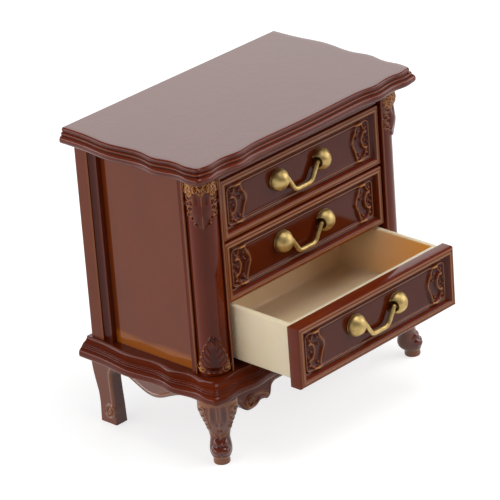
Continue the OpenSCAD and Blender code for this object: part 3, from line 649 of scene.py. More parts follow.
class BuildFrontPosts(bpy.types.Operator):
    """Front posts: the canted face carries a half-round pilaster with a carved capital and foot leaf"""

    bl_idname = "chest.front_posts"
    bl_label = "Front posts"

    # Carving by height: half width and core of the leaf, swell of the crown, lobes as (across, up, radius), foot
    LEAF = (
        (61.8, 0.05, 0.0), (62.4, 0.6, 0.25), (63.6, 1.6, 0.5), (65.0, 2.3, 0.8), (66.7, 2.6, 1.1),
        (68.4, 2.4, 0.95), (70.2, 2.5, 0.8), (72.0, 2.9, 0.75), (76.0, 3.3, 0.6))
    CROWN = ((69.8, 0.75), (71.4, 1.15), (73.2, 1.3), (75.0, 0.95), (76.0, 0.8))
    CAPITAL_LOBES = (
        (2.9, 70.2, 0.75), (3.4, 68.3, 0.55), (2.75, 67.2, 0.7), (3.1, 65.6, 0.5), (2.2, 64.9, 0.55), (1.5, 63.4, 0.45))
    FOOT = ((22.4, 0.5), (24.0, 0.55), (25.4, 0.95), (28.0, 0.9), (30.6, 0.6), (32.8, 0.3), (34.0, 0))
    FOOT_LOW, FOOT_HIGH = 23.3, 33.0
    SHAFT_LOW, SHAFT_HIGH = 34, 61.5

    def pilaster(self, w):
        """Height and tone of the shaft: a circular arc, with a bell-shaped quirk and fillet along each edge."""
        half, rise = 3.7, 2.4
        radius = (half**2 + rise**2) / (2 * rise)
        aw = np.abs(w)
        shaft = np.sqrt(np.clip(radius**2 - aw**2, 0, None)) - (radius - rise)
        quirk, fillet = bell(aw, 3.93, 0.15), bell(aw, 4.5, 0.16)
        height = np.where(aw < half, shaft, 0.0) - 0.4 * quirk + 0.1 * fillet - 0.3 * ramp(4.62, 4.81, aw)
        # Painted shade down the middle of the shaft and in the quirks; the fillets are lighter, partly amber edge and
        # partly a painted highlight.
        tone = 0.5 - 0.14 * bell(w, 0, 2.2) - 0.35 * quirk + 0.22 * fillet
        return height, tone

    def capital(self, w, z):
        """Height and tone of the capital: a veined leaf on a swelling core, lobes beside it, knotted tips above."""
        aw = np.abs(w)
        half_w, core = level(z, self.LEAF)
        v = aw / np.maximum(half_w, 0.05)
        blade = ramp(1.06, 0.9, v) * ramp(61.9, 62.3, z) * ramp(73.0, 72.0, z)
        drops = bell(aw, 1.15, 0.5) * bell(z, 69.9, 1.3)
        vein = bell(w, 0, 0.15) * blade
        fan = np.cos(15 * np.arctan2(aw, 69.0 - z)) * ramp(66.2, 65.2, z) * blade
        knots = lace(aw, z)
        rim, eye = lobes(aw, z, self.CAPITAL_LOBES)
        rim, eye = rim * (1 - blade), eye * (1 - 0.5 * blade)
        hem_z = 71.3 - 0.5 * np.cos(2.3 * aw) - 0.7 * ramp(2.2, 3.2, aw)
        tips = ramp(-0.3, 0.3, z - hem_z) * ramp(76.2, 75.8, z) * ramp(4.35, 4.05, aw)
        knob, hole = ramp(-0.1, 0.55, knots), ramp(-0.2, -0.6, knots)
        crown, = level(z, self.CROWN)
        bow = np.cos(np.clip(aw / 6.5, 0, 1.2))
        leafage = core * (0.5 + 0.5 * np.cos(0.5 * math.pi * np.clip(v, 0, 1)))
        leafage = leafage - 0.3 * drops + 0.1 * vein + 0.06 * fan
        height = np.maximum(blade * leafage, tips * crown * bow) + (1 - tips) * (0.4 * rim - 0.15 * eye)
        height = height + tips * (0.22 * knob - 0.15 * hole)
        upper = blade * ramp(67.6, 69.4, z)
        # Painted shade in the drops, eyes and holes; veins, rims and the knotted tips are lighter, partly amber and
        # partly a painted highlight.
        tone = 0.14 * upper - 0.34 * drops * blade + 0.2 * vein + 0.1 * fan + 0.18 * rim - 0.36 * eye
        tone = (1 - tips) * tone + tips * (0.24 + 0.26 * knob - 0.24 * hole)
        return height, tone

    def foot_leaf(self, w, z, carve):
        """Height and tone of the foot: a leaf under a power-law arch with a lobed fringe, volutes, tongue and hook."""
        aw = np.abs(w)
        foot, = level(z, self.FOOT)
        s = np.clip((z - self.FOOT_LOW) / (self.FOOT_HIGH - self.FOOT_LOW), 0, 1)
        arch = np.maximum(4.15 * (1 - s**2.2) ** 0.75, 1e-3)
        v = aw / arch
        lobe = np.abs(np.sin(math.pi * (5.5 * s - 2.0 * v)))
        mask = ramp(0.05, -0.05, v - 0.84 - 0.14 * lobe) * (z > self.FOOT_LOW) * (z < self.FOOT_HIGH)
        fringe = bell(v, 0.8 + 0.14 * lobe, 0.08) * mask
        ribs = bell(lobe, 1.0, 0.3) * ramp(0.15, 0.35, v) * ramp(0.85, 0.7, v) * mask
        curls = sum(scroll(w, z, k * 3.0, 24.6, 1.3, k) for k in (-1, 1))
        hook = bell(np.hypot(w, z - 32.2), 0.85, 0.22) * ramp(31.9, 32.4, z)
        tongue = bell(w, 0, 0.5) * bell(z, 31.2, 1.0)
        hem = bell(z, 23.4 + 0.14 * np.cos(aw * 5.2), 0.26) * ramp(4.3, 3.6, aw)
        height = mask * foot * 0.75 + carve * (0.4 * fringe + 0.16 * ribs)
        height = height + 0.4 * curls + 0.45 * tongue + 0.3 * hem + 0.4 * hook
        # Painted shade on the leaf's ground and under the hook; the fringe, ribs, curls, tongue and hem are lighter,
        # partly amber and partly a painted highlight.
        tone = 0.42 * fringe + mask * (0.26 * ribs - 0.2) * (1 - curls) + 0.3 * curls
        tone = tone + 0.3 * tongue + 0.24 * hem - 0.3 * hook
        return height, tone

    def execute(self, context):
        carve = context.scene.chest_sizes.carve_depth / MM
        wide = CANT * ROOT_HALF
        w = np.linspace(-wide, wide, 120)[:, None]
        z = np.concatenate([
            np.linspace(CASE_Z, self.SHAFT_LOW, 95, endpoint=False),
            np.linspace(self.SHAFT_LOW, self.SHAFT_HIGH, 12, endpoint=False),
            np.linspace(self.SHAFT_HIGH, CASE_TOP, 120)])[None, :]
        ww, zz = np.broadcast_arrays(w, z)
        parts = self.pilaster(ww), self.capital(ww, zz), self.foot_leaf(ww, zz, carve)
        height, tone = (sum(values) for values in zip(*parts))
        x = -CORNER_X + ROOT_HALF * (ww - height)
        y = CORNER_Y - ROOT_HALF * (ww + height)
        front = np.stack([x, y, zz], -1)
        share = (ww + wide) / (2 * wide)
        back = np.stack([-CASE_HALF + share * CANT, np.full(zz.shape, FRONT_Y + CANT + 1.0), zz], -1)
        tone = two_faces(tone, 0.45)
        add_pair("front_post_{}_carved", "front_post_{}", slab(front, back), "carved_brown", tone, 60)
        return {"FINISHED"}


class BuildFrontLegs(bpy.types.Operator):
    """Front legs: ellipses lofted down an S-shaped line, with curled knee lobes, bulbs on the foot and a round pad"""

    bl_idname = "chest.front_legs"
    bl_label = "Front legs"

    # Height, middle of the ellipse out from the corner, half depth, half width
    RINGS = (
        (0.0, 4.6, 2.0, 2.0), (0.3, 4.6, 2.12, 2.12), (1.5, 4.6, 2.1, 2.1), (1.8, 4.5, 2.25, 2.2),
        (2.3, 4.2, 2.75, 2.55), (3.1, 4.0, 3.1, 2.8), (4.2, 3.85, 3.1, 2.8), (5.3, 3.65, 2.7, 2.65),
        (6.6, 3.45, 2.3, 2.5), (8.1, 3.4, 2.2, 2.75), (10.2, 3.75, 2.6, 3.25), (12.7, 4.05, 3.3, 4.15),
        (15.1, 4.0, 3.85, 4.95), (17.6, 3.7, 4.1, 5.1))
    SIDE_LOBES = ((4.15, 15.5, 0.75), (3.75, 13.8, 0.65), (3.2, 12.3, 0.55), (2.85, 11.0, 0.45), (2.65, 9.8, 0.4))
    BULBS = ((0.95, 5.75, 0.85), (1.25, 3.9, 1.1))

    def execute(self, context):
        carve = context.scene.chest_sizes.carve_depth / MM
        z = np.concatenate([[0.0, 0.06], np.linspace(0.2, LEG_H, 150)])[:, None]
        a = np.linspace(0, 2 * math.pi, 144, endpoint=False)[None, :]
        mid, deep, wide = level(z, self.RINGS)
        w = wide * np.sin(a) + 0 * z
        zz = z + 0 * a
        facing = ramp(-0.1, 0.45, np.cos(a)) + 0 * z
        aw = np.abs(w)
        rim, eye = lobes(aw, zz, self.SIDE_LOBES)
        flutes = bell(aw, 1.3, 0.55) * bell(zz, 14.2, 1.7)
        reeds = (bell(aw, 0.45, 0.16) + bell(aw, 2.15, 0.2)) * ramp(12.2, 13.2, zz) * ramp(16.8, 16.0, zz)
        swell = bell(w, 0, 1.6) * bell(zz, 11.0, 2.2)
        vee = bell(aw, 1.05 * (zz - 6.6), 0.2) * ramp(6.8, 7.2, zz) * ramp(9.2, 8.4, zz)
        pits = bell(aw, 0.55, 0.2) * bell(zz, 11.2, 0.22)
        rib = bell(w, 0, 0.14) * ramp(1.9, 2.4, zz) * ramp(13.0, 12.0, zz)
        bulb, knuckle = np.zeros(w.shape), np.zeros(w.shape)
        for bx, bz, r in self.BULBS:
            d = np.hypot(aw - bx, zz - bz)
            bulb, knuckle = np.maximum(bulb, bell(d, 0.0, r)), np.maximum(knuckle, bell(d, 1.25 * r, 0.22))
        collar = bell(zz, 1.95, 0.2)
        band = ramp(16.2, 16.8, zz)
        lift = carve * (0.5 * rim - 0.2 * eye - 0.3 * flutes + 0.2 * reeds + 0.3 * swell) + 0.22 * vee - 0.25 * pits
        lift = lift + 0.1 * rib + 0.5 * bulb - 0.14 * knuckle + 0.1 * collar
        rise = facing * lift
        # Painted shade in the eyes, flutes, pits and knuckles and on the bulbs; rims, reeds, vee lines, rib, collar,
        # band and pad are lighter, partly amber and partly a painted highlight.
        tone = 0.14 * rim - 0.45 * eye - 0.34 * flutes + 0.12 * reeds + 0.14 * vee - 0.5 * pits + 0.1 * rib
        tone = tone - 0.1 * bulb - 0.3 * knuckle + 0.16 * collar + 0.1 * band
        tone = 0.56 + facing * tone + 0.06 * ramp(1.9, 1.6, zz)
        u = mid + (deep + rise) * np.cos(a)
        v = (wide + 0.6 * rise) * np.sin(a)
        x = -CORNER_X - ROOT_HALF * (u - v)
        y = CORNER_Y - ROOT_HALF * (u + v)
        grid = np.stack([x, y, zz], -1)
        add_pair("front_leg_{}_cabriole", "front_leg_{}", rings(grid), "low_brown", tone.reshape(-1), 50)
        return {"FINISHED"}


class BuildRearLegs(bpy.types.Operator):
    """Rear legs: a splayed bracket whose outer face has a raised edge line that ends in a scroll"""

    bl_idname = "chest.rear_legs"
    bl_label = "Rear legs"

    # Height, outer face, inner face, how far the front and the back edge draw in
    RINGS = (
        (0.0, 1.75, 2.0, 0.0, 2.6), (2.6, 1.66, 1.9, 0.04, 2.6), (4.9, 1.5, 1.9, 0.16, 2.5),
        (7.6, 1.35, 1.9, 0.4, 2.13), (10.0, 1.26, 1.96, 0.64, 1.46), (12.5, 1.2, 2.0, 0.8, 0.78),
        (15.0, LEG_OUT, 2.16, 0.8, 0.34), (17.6, LEG_OUT, 2.3, 0.8, 0.16))

    def execute(self, context):
        t = np.linspace(0, 1, 80)[:, None]
        z = np.linspace(0, LEG_H, 160)[None, :]
        out, inner, ahead, behind = level(z, self.RINGS)
        up = np.clip((z - ARCH_Z) / ARCH_R, 0, 1)
        y0 = np.maximum(SEAM_Y, SEAM_Y + ahead - ARCH_R * (1 - np.sqrt(1 - up**2)))
        y1 = BACK_Y - behind
        y = y0 + t * (y1 - y0)
        zz = z + 0 * t
        from_front, from_back = y - y0, y1 - y
        inward = np.where(zz < ARCH_Z, from_front, np.hypot(y - ARCH_Y, zz - ARCH_Z) - ARCH_R)
        line = bell(inward, BORDER_IN, 0.4) * ramp(4.6, 5.4, zz)
        curl = scroll(y, zz, SEAM_Y + 2.15, 3.6, 2.3, 1)
        from_front = np.minimum(from_front, np.where(zz < ARCH_Z, np.inf, inward))
        round_off = round_edge(np.minimum(from_front, from_back), *SOFT_EDGE)
        rise = 0.32 * line + 0.42 * curl - round_off
        front = np.stack([-CASE_HALF - out + 0 * y - rise, y, zz], -1)
        back = np.stack([-CASE_HALF + inner + 0 * y, y, zz], -1)
        # The raised line and scroll are lighter: partly amber edge, partly a painted highlight.
        tone = two_faces(0.55 + 0.08 * line + 0.12 * curl, 0.5)
        add_pair("rear_leg_{}_bracket", "rear_leg_{}", slab(front, back), "low_brown", tone)
        return {"FINISHED"}


def apron(along, low, top, outer, thick):
    """Apron slab under the base: (front, back, tone) between a lower edge and the base, with a raised border.

    The border is a bell curve of the height over the lower edge; the edge itself is rounded off by a quarter circle.
    """
    t = np.linspace(0, 1, 60)[None, :] ** 1.5
    a = along[:, None] + 0 * t
    z = low[:, None] + t * (top - low[:, None])
    over = z - low[:, None]
    slope = np.gradient(low, along)[:, None]
    border = bell(over / np.sqrt(1 + slope**2), BORDER_IN, 0.4)
    rise = 0.26 * border - round_edge(over, *SOFT_EDGE)
    # The raised border is lighter: partly amber edge, partly a painted highlight.
    return a, z, outer + rise, outer - thick + 0 * z, 0.55 + 0.08 * border


class BuildSideAprons(bpy.types.Operator):
    """Side aprons: the lower edge is a quarter arch by the rear leg and a bell-shaped belly towards the front"""

    bl_idname = "chest.side_aprons"
    bl_label = "Side aprons"

    def execute(self, context):
        back, front = SEAM_Y - 0.1, CORNER_Y - 0.4
        y = np.linspace(back, front, 190)
        belly = CORNER_Y + 0.55 * (back - CORNER_Y)
        low = LEG_H - ARCH_BAND - 4.1 * bell(y, belly, 7.6)
        arch = ARCH_Z + np.sqrt(np.clip(ARCH_R**2 - (y - ARCH_Y) ** 2, 0, None))
        low = np.where(y > ARCH_Y, np.minimum(low, arch), low)
        outer = CASE_HALF + LEG_OUT + (APRON_OUT - LEG_OUT) * ramp(back, back - 7.0, y)[:, None]
        a, z, rise, inner, tone = apron(y, low, LEG_H, outer, 2.0)
        shape = slab(np.stack([-rise, a, z], -1), np.stack([-inner, a, z], -1))
        add_pair("apron_{}_bellied", "apron_{}", shape, "apron_brown", two_faces(tone, 0.45))
        return {"FINISHED"}


class BuildFrontApron(bpy.types.Operator):
    """Front apron: an arch between two scroll brackets, each carved with a volute"""

    bl_idname = "chest.front_apron"
    bl_label = "Front apron"

    EDGE = (
        (0.0, 15.4), (8.0, 15.3), (15.5, 15.3), (17.6, 15.2), (18.8, 14.4), (19.2, 12.9), (19.6, 11.9), (20.5, 11.5),
        (21.6, 11.9), (23.0, 12.0), (24.4, 11.2), (26.0, 10.9), (27.7, 11.1), (29.2, 12.1), (30.4, 13.6),
        (31.6, 14.7), (33.0, 15.2))
    HALF, OUT = 32.4, 0.2

    def execute(self, context):
        x = np.linspace(-self.HALF, self.HALF, 330)
        low, = level(np.abs(x), self.EDGE)
        a, z, rise, inner, tone = apron(x, low, LEG_H, PLAN_FRONT + self.OUT, 2.0)
        curl = sum(scroll(a, z, k * 26.6, 13.3, 2.0, k) for k in (-1, 1))
        stem = sum(stroke(a, z, ((k * 25.0, 14.6), (k * 22.6, 14.2), (k * 20.6, 13.0)), 0.4) for k in (-1, 1))
        rise = rise + 0.5 * curl + 0.35 * stem
        # Curls and stems are lighter, partly amber and partly a painted highlight; the rest of the apron is a little
        # darker.
        tone = tone + 0.2 * curl + 0.2 * stem - 0.03
        shape = slab(np.stack([a, -rise, z], -1), np.stack([a, -inner, z], -1))
        add_piece(
            "apron_front_scrolled", shape, "case", ["apron_front"], finish_of("carved_brown"),
            two_faces(tone, 0.45))
        return {"FINISHED"}


class BuildDrawerFronts(bpy.types.Operator):
    """Drawer fronts: a raised frame with a cove, a sunk panel with a thin bead, and a carved cartouche at each end"""

    bl_idname = "chest.drawer_fronts"
    bl_label = "Drawer fronts"

    INNER_SCROLL = (
        (-0.6, 4.7), (1.0, 4.5), (1.5, 3.2), (2.5, 1.6), (2.75, 0.2), (2.1, -1.4), (1.55, -3.0), (1.2, -4.6))
    OUTER_SCROLL = (
        (-2.4, 2.1), (-1.5, 2.05), (-0.85, 1.3), (-0.65, 0.2), (-0.95, -1.0), (-1.6, -1.9), (-2.45, -2.1))
    TOP_LINK = ((-2.4, 2.1), (-1.95, 2.9), (-1.4, 3.6), (-1.1, 4.4), (-0.2, 4.7), (1.0, 4.5))
    FOOT_LINK = ((-2.45, -2.1), (-2.1, -2.9), (-1.7, -3.8), (-0.9, -4.5), (0.3, -4.8), (1.2, -4.6))
    KNOBS = (
        (-2.4, 2.2, 0.5), (-2.45, -2.2, 0.55), (-0.8, -4.6, 0.5), (-1.1, 4.3, 0.42), (-2.85, 0.9, 0.34),
        (-2.85, -0.8, 0.34), (-2.3, 3.4, 0.4), (-2.4, -3.5, 0.42), (-1.75, 0.1, 0.4), (0.4, -3.3, 0.4),
        (0.5, 3.2, 0.4), (0.9, 1.3, 0.34))
    # Middle of a cartouche and length of the finely divided part, from the end of the drawer
    FROM_END, FINE_END = 6.7, 12.5

    def cartouche(self, x, z):
        """Raised strokes and knobs of a cartouche; x runs towards the middle of the drawer."""
        lines = np.maximum(stroke(x, z, self.INNER_SCROLL, 0.48), stroke(x, z, self.OUTER_SCROLL, 0.48))
        links = np.maximum(stroke(x, z, self.TOP_LINK, 0.42), stroke(x, z, self.FOOT_LINK, 0.42))
        lines = np.maximum(lines, 0.85 * links)
        for kx, kz, r in self.KNOBS:
            lines = np.maximum(lines, np.exp(-((x - kx) ** 2 + (z - kz) ** 2) / r**2))
        return lines

    def execute(self, context):
        sizes = context.scene.chest_sizes
        frame_w, sunk, bead_h = sizes.frame_w / MM, sizes.sunk / MM, sizes.bead_h / MM
        for drawer in DRAWERS:
            low, high = case_corners(f"drawer_front_{drawer}")
            half, mid = high[0], (low[2] + high[2]) / 2
            tall = (high[2] - low[2]) / 2
            ends, plain = np.linspace(0, self.FINE_END, 106), half - self.FINE_END - 0.5
            x = np.concatenate([-half + ends, np.linspace(-plain, plain, 30), half - ends[::-1]])[:, None]
            z = np.linspace(-tall, tall, 128)[None, :]
            xx, zz = np.broadcast_arrays(x, z)
            dx, dz = half - np.abs(xx), tall - np.abs(zz)
            d = np.minimum(dx, dz)
            edge = round_edge(d, 0.75)
            step = 0.1 * bell(d, 1.15, 0.1)
            cove = sunk * ramp(1.45, frame_w + 0.15, d)
            r, bead_in = 1.1, frame_w + 0.55
            qx, qz = np.clip(r - (dx - bead_in), 0, None), np.clip(r - (dz - bead_in), 0, None)
            inside = np.where((qx > 0) & (qz > 0), r - np.hypot(qx, qz), d - bead_in)
            bead = bell(inside, 0.0, 0.3)
            quirk = bell(inside, 0.5, 0.2) + bell(inside, -0.45, 0.18)
            from_mid = half - self.FROM_END - np.abs(xx)
            carve = self.cartouche(from_mid, zz)
            ground = ramp(3.5, 3.0, np.hypot(from_mid, zz / 1.7))
            down = edge + step + cove - bead_h * bead + 0.08 * quirk - 0.75 * carve + 0.12 * ground
            # Painted shade in the sunk panel, the quirks and the cartouche ground; the frame's edge, the bead, the
            # carving and the outer rim are lighter, partly amber and partly a painted highlight.
            tone = 0.5 + 0.24 * bell(d, 1.25, 0.3) - 0.18 * ramp(1.5, 2.4, d) + 0.36 * bead - 0.2 * quirk
            tone = tone + 0.5 * carve - 0.1 * ground + 0.16 * bell(d, 0.45, 0.2)
            front = np.stack([xx, low[1] + down, zz + mid], -1)
            back = np.stack([xx, np.full(xx.shape, high[1]), zz + mid], -1)
            add_piece(
                f"front_{drawer}_carved", slab(front, back), f"drawer_{drawer}", [f"drawer_front_{drawer}"],
                finish_of("carved_brown"), two_faces(tone, 0.54), 55)
        return {"FINISHED"}


class BuildTrays(bpy.types.Operator):
    """Drawer trays: rounded rectangles stacked up the outside, over a round rim and down the inside"""

    bl_idname = "chest.trays"
    bl_label = "Drawer trays"

    # Rings of the path up to the rim and down to the foot of the inner wall, and steps of a corner
    RIM_ROWS, WALL_ROWS, ROUND_STEPS = 11, 15, 13

    def execute(self, context):
        wall = context.scene.chest_sizes.tray_t / MM
        for drawer in DRAWERS:
            low, high = case_corners(f"drawer_tray_{drawer}")
            z0, z1 = low[2], high[2]
            path = np.array((
                (0.9, z0), (0.45, z0 + 0.06), (0.12, z0 + 0.3), (0.0, z0 + 0.8), (0.0, z1 - 5), (0.0, z1 - 0.45),
                (0.06, z1 - 0.2), (0.22, z1 - 0.05), (0.45, z1),
                (wall - 0.45, z1), (wall - 0.22, z1 - 0.05), (wall - 0.06, z1 - 0.2),
                (wall, z1 - 0.45), (wall, z1 - 6), (wall, z0 + wall + 1.2), (wall + 0.1, z0 + wall + 0.6),
                (wall + 0.4, z0 + wall + 0.18), (wall + 1.0, z0 + wall), (wall + 2.5, z0 + wall)))
            inset, z = path[:, :1], path[:, 1:]
            a = np.linspace(0, math.pi / 2, self.ROUND_STEPS)
            q = np.concatenate([a, a + math.pi / 2, a + math.pi, a + 1.5 * math.pi])[None, :]
            quarter = np.repeat(np.arange(4), self.ROUND_STEPS)[None, :]
            sx = np.where((quarter == 0) | (quarter == 3), 1.0, -1.0)
            sy = np.where(quarter < 2, 1.0, -1.0)
            r = np.maximum(1.6 - inset, 0.35)
            half, mid = (high - low) / 2, (low + high) / 2
            x = mid[0] + sx * (half[0] - inset - r) + r * np.cos(q)
            y = mid[1] + sy * (half[1] - inset - r) + r * np.sin(q)
            grid = np.stack([x, y, z + 0 * q], -1)
            row = np.arange(len(path))[:, None]
            # Painted light inside the tray: the walls darken towards the floor as painted shade, the inner right wall
            # takes a painted amber glow towards the front, and the floor a painted shade.
            ahead = ramp(high[1], low[1], y)
            glow = (x > mid[0]) * ramp(z0, z0 + 4.0, z)
            wall_shade_and_glow = 0.42 - 0.1 * ramp(z1, z0, z) - 0.42 * ahead * glow
            tone = np.where(row < self.RIM_ROWS, 0.6, np.where(row < self.WALL_ROWS, wall_shade_and_glow, 0.3))
            add_piece(
                f"tray_{drawer}_moulded", rings(grid), f"drawer_{drawer}", [f"drawer_tray_{drawer}"],
                finish_of("ivory"), tone.reshape(-1), 50)
        return {"FINISHED"}


class BuildBosses(bpy.types.Operator):
    """Handle bosses: a domed profile turned round the peg, pushed in to a round pocket where the bail enters"""

    bl_idname = "chest.bosses"
    bl_label = "Handle bosses"

    PROFILE = (
        (2.62, 0.0), (2.78, 0.08), (2.8, 0.22), (2.74, 0.34), (2.76, 0.5), (2.72, 0.9), (2.56, 1.35), (2.28, 1.8),
        (1.9, 2.25), (1.42, 2.63), (0.9, 2.88), (0.4, 3.01), (0.06, 3.05))
    # Radius of the pocket, its floor out from the peg, and height of the bail's pin over the drawer
    POCKET_R, POCKET_X, AXIS_H = 1.7, 1.6, 1.3

    def execute(self, context):
        a = np.linspace(0, 2 * math.pi, 120, endpoint=False)[None, :]
        p = curve_through(self.PROFILE, 7)
        r, h = p[:, :1], p[:, 1:]
        for drawer in DRAWERS:
            for label, side in SIDES:
                low, high = case_corners(f"boss_{drawer}_{label}")
                radius = (high[2] - low[2]) / 2
                mid_x = high[0] - radius if side > 0 else low[0] + radius
                mid_z = (low[2] + high[2]) / 2
                size = radius / self.PROFILE[2][0]
                rr, hh = size * r, size * h
                foot = low[1] + hh[-1]
                across = side * rr * np.cos(a)
                away = np.hypot(rr * np.sin(a), hh - self.AXIS_H)
                inside = ramp(self.POCKET_R, self.POCKET_R - 0.6, away) * (across < -self.POCKET_X)
                across = across + inside * (-self.POCKET_X - across)
                # Painted shade: darker towards the foot of the dome and in the pocket round the pin.
                tone = 0.2 + 0.45 * ramp(0.1, 1.1, h) - 0.6 * inside
                grid = np.stack([mid_x + side * across, foot - hh + 0 * a, mid_z + rr * np.sin(a)], -1)
                add_piece(
                    f"boss_{drawer}_{label}_domed", rings(grid), f"drawer_{drawer}", [f"boss_{drawer}_{label}"],
                    finish_of("gold"), tone.reshape(-1))
        return {"FINISHED"}


class BuildBails(bpy.types.Operator):
    """Bails: a round rod carried along a bar and two leaning arms, down to a thin pin at each end"""

    bl_idname = "chest.bails"
    bl_label = "Bails"

    # Half the distance of the arms, radius of a pin, and radius of the rod in the solid
    ARM_HALF, PIN_R, SOLID_R = 5.3, 0.4, 0.6

    def execute(self, context):
        rod = context.scene.chest_sizes.bail_r / MM
        for drawer in DRAWERS:
            low, high = case_corners(f"bail_{drawer}")
            y = (low[1] + high[1]) / 2
            boss = corners_mm(f"boss_{drawer}_left")
            axis_z = (boss[0][2] + boss[1][2]) / 2
            drop, half = axis_z - low[2] - self.SOLID_R, self.ARM_HALF
            pts = np.array((
                (high[0], 0.0), (half + 0.8, 0.0), (half + 0.35, -0.03), (half, -0.35), (half - 0.55, -1.25),
                (half - 1.15, -2.2), (half - 1.7, -drop + 1.1), (half - 2.3, -drop + 0.38), (half - 3.1, -drop + 0.04),
                (1.2, -drop)))
            pts = np.vstack([pts, pts[::-1] * (-1, 1)])
            path = curve_through(pts, 6)
            along = np.gradient(path, axis=0)
            along = along / np.linalg.norm(along, axis=1, keepdims=True)
            normal = np.stack([-along[:, 1], along[:, 0]], -1)
            a = np.linspace(0, 2 * math.pi, 28, endpoint=False)
            r = np.where(np.abs(path[:, 0]) > half + 0.7, self.PIN_R, rod)
            r = np.convolve(np.pad(r, 3, "edge"), np.ones(7) / 7, "valid")[:, None]
            x = path[:, :1] + r * np.cos(a) * normal[:, :1]
            z = axis_z + path[:, 1:] + r * np.cos(a) * normal[:, 1:]
            grid = np.stack([x, y + r * np.sin(a), z], -1)
            # Painted shade: darker towards the pins, where they enter the bosses.
            tone = np.broadcast_to(0.62 - 0.3 * ramp(half - 0.3, half + 0.6, np.abs(path[:, :1])), grid.shape[:2])
            add_piece(
                f"bail_{drawer}_bow", rings(grid), f"bail_{drawer}", [f"bail_{drawer}"],
                finish_of("gold"), tone.reshape(-1))
        return {"FINISHED"}


class FinishBoards(bpy.types.Operator):
    """Flat boards that keep their solid shape: side panels, rail, back, guides and inner boards"""

    bl_idname = "chest.flat_boards"
    bl_label = "Flat boards"

    BOARDS = (
        "top_rail", "side_panel_left", "side_panel_right", "back_panel", "drawer_guide_left", "drawer_guide_right",
        "dust_board_upper", "dust_board_lower", "bottom_board", "apron_rear")

    def execute(self, context):
        for name in self.BOARDS:
            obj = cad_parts[name]
            obj.data.materials.clear()
            # Side panels take the finish with the painted reflection of the base at their foot.
            obj.data.materials.append(finish_of("panel_brown" if "side_panel" in name else "plain_brown"))
        return {"FINISHED"}


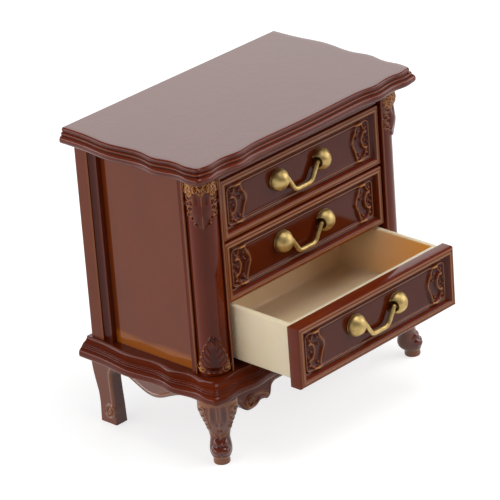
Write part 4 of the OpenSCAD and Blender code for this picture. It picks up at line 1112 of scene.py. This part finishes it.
class BuildStage(bpy.types.Operator):
    """Stage: pale floor, white surroundings, soft boxes and the camera"""

    bl_idname = "chest.stage"
    bl_label = "Stage"

    AIM = (0.0, 0.0, 0.04)
    # Name, place and size in metres, power in watts
    SOFT_BOXES = (
        ("left", (-1.0, 0.6, 0.38), (2.4, 0.42), 12.0), ("right", (0.95, -0.68, 0.56), (1.2, 0.8), 8.8),
        ("behind", (0.8, 0.8, 0.53), (0.7, 0.5), 2.2), ("above", (0.1, -0.3, 1.2), (0.7, 0.7), 6.0))
    FLOOR_HALF, FLOOR_GLOW, ROOM_GLOW = 4.0, 0.7, 0.22
    # Camera: turn, rise and roll in radians, its target in case millimetres, distance in metres, film in millimetres
    ANGLES = (-0.789206382, 0.431049537, -0.0752403841)
    TARGET = (-8.94161597, -9.65988245, 44.0)
    DISTANCE, SENSOR, LENS = 0.877680535, 36.0, 253.858

    def floor(self, tone):
        """Wide floor whose colour adds to plain white for the camera, and keeps the shadow."""
        mesh = bpy.data.meshes.new("floor")
        h = self.FLOOR_HALF
        mesh.from_pydata([(-h, -h, 0), (h, -h, 0), (h, h, 0), (-h, h, 0)], [], [(0, 1, 2, 3)])
        obj = bpy.data.objects.new("floor", mesh)
        bpy.context.scene.collection.objects.link(obj)
        n = FinishNodes("floor_white")
        seen = n.add("ShaderNodeLightPath").outputs
        any_ray = n.larger(n.larger(seen["Is Camera Ray"], seen["Is Glossy Ray"]), seen["Is Transmission Ray"])
        strength = n.add("ShaderNodeMath", operation="MULTIPLY")
        strength.inputs[1].default_value = self.FLOOR_GLOW
        n.link(any_ray, strength.inputs[0])
        diffuse = n.add("ShaderNodeBsdfDiffuse", Color=(*tone, 1.0))
        glow = n.add("ShaderNodeEmission", Color=(*WHITE, 1.0))
        n.link(strength.outputs[0], glow.inputs["Strength"])
        both = n.add("ShaderNodeAddShader")
        n.link(diffuse.outputs[0], both.inputs[0])
        n.link(glow.outputs[0], both.inputs[1])
        n.link(both.outputs[0], n.add("ShaderNodeOutputMaterial").inputs["Surface"])
        mesh.materials.append(n.material)

    def world(self, scene):
        """Even pale surroundings."""
        world = bpy.data.worlds.new("pale_room")
        scene.world = world
        world.use_nodes = True
        glow = world.node_tree.nodes["Background"]
        glow.inputs["Color"].default_value = (*WHITE, 1.0)
        glow.inputs["Strength"].default_value = self.ROOM_GLOW

    def soft_box(self, name, place, size, power):
        """Oblong soft box at a place, turned to the middle of the chest."""
        data = bpy.data.lights.new(name, "AREA")
        data.shape = "RECTANGLE"
        data.size, data.size_y = size
        data.energy = power
        obj = bpy.data.objects.new(name, data)
        bpy.context.scene.collection.objects.link(obj)
        obj.location = place
        obj.rotation_euler = (Vector(self.AIM) - Vector(place)).to_track_quat("-Z", "Y").to_euler()
        obj.visible_camera = False

    def camera(self, scene):
        """Camera at the photograph's angle: turned round the target, raised, and rolled a little."""
        azimuth, elevation, roll = self.ANGLES
        target = Vector(np.array(self.TARGET) + SHIFT) * MM
        out = Vector((
            math.sin(azimuth) * math.cos(elevation), -math.cos(azimuth) * math.cos(elevation), math.sin(elevation)))
        right = (-out).cross(Vector((0, 0, 1))).normalized()
        up = right.cross(-out)
        across = right * math.cos(roll) + up * math.sin(roll)
        above = up * math.cos(roll) - right * math.sin(roll)
        data = bpy.data.cameras.new("camera")
        data.sensor_width, data.lens = self.SENSOR, self.LENS
        data.clip_start, data.clip_end = 0.05, 20.0
        obj = bpy.data.objects.new("camera", data)
        scene.collection.objects.link(obj)
        turn = Matrix((across, above, out)).transposed().to_4x4()
        obj.matrix_world = Matrix.Translation(target + out * self.DISTANCE) @ turn
        scene.camera = obj

    def execute(self, context):
        scene = context.scene
        scene.view_settings.view_transform = "Standard"
        self.camera(scene)
        self.world(scene)
        self.floor(scene.chest_tones.ground)
        for box in self.SOFT_BOXES:
            self.soft_box(*box)
        return {"FINISHED"}


STEPS = (
    BuildStage, BuildTop, BuildBase, BuildRearPosts, BuildFrontPosts, BuildFrontLegs, BuildRearLegs, BuildSideAprons,
    BuildFrontApron, BuildDrawerFronts, BuildTrays, BuildBosses, BuildBails, FinishBoards,
)


class ChestPanel(bpy.types.Panel):
    """Sidebar panel with the sizes, the colours and a button for each group of pieces"""

    bl_idname = "VIEW3D_PT_chest"
    bl_label = "Chest of drawers"
    bl_space_type = "VIEW_3D"
    bl_region_type = "UI"
    bl_category = "Chest"

    def draw(self, context):
        for group in (context.scene.chest_sizes, context.scene.chest_tones):
            column = self.layout.column()
            for name in group.__annotations__:
                column.prop(group, name)
        for step in STEPS:
            self.layout.operator(step.bl_idname)


CLASSES = (ChestSizes, ChestTones, *STEPS, ChestPanel)


def register():
    for cls in CLASSES:
        bpy.utils.register_class(cls)
    bpy.types.Scene.chest_sizes = PointerProperty(type=ChestSizes)
    bpy.types.Scene.chest_tones = PointerProperty(type=ChestTones)


def unregister():
    del bpy.types.Scene.chest_tones
    del bpy.types.Scene.chest_sizes
    for cls in reversed(CLASSES):
        bpy.utils.unregister_class(cls)


def main():
    register()
    for step in STEPS:
        group, name = step.bl_idname.split(".")
        getattr(getattr(bpy.ops, group), name)()
    bpy.context.view_layer.update()


if __name__ == "__main__":
    main()
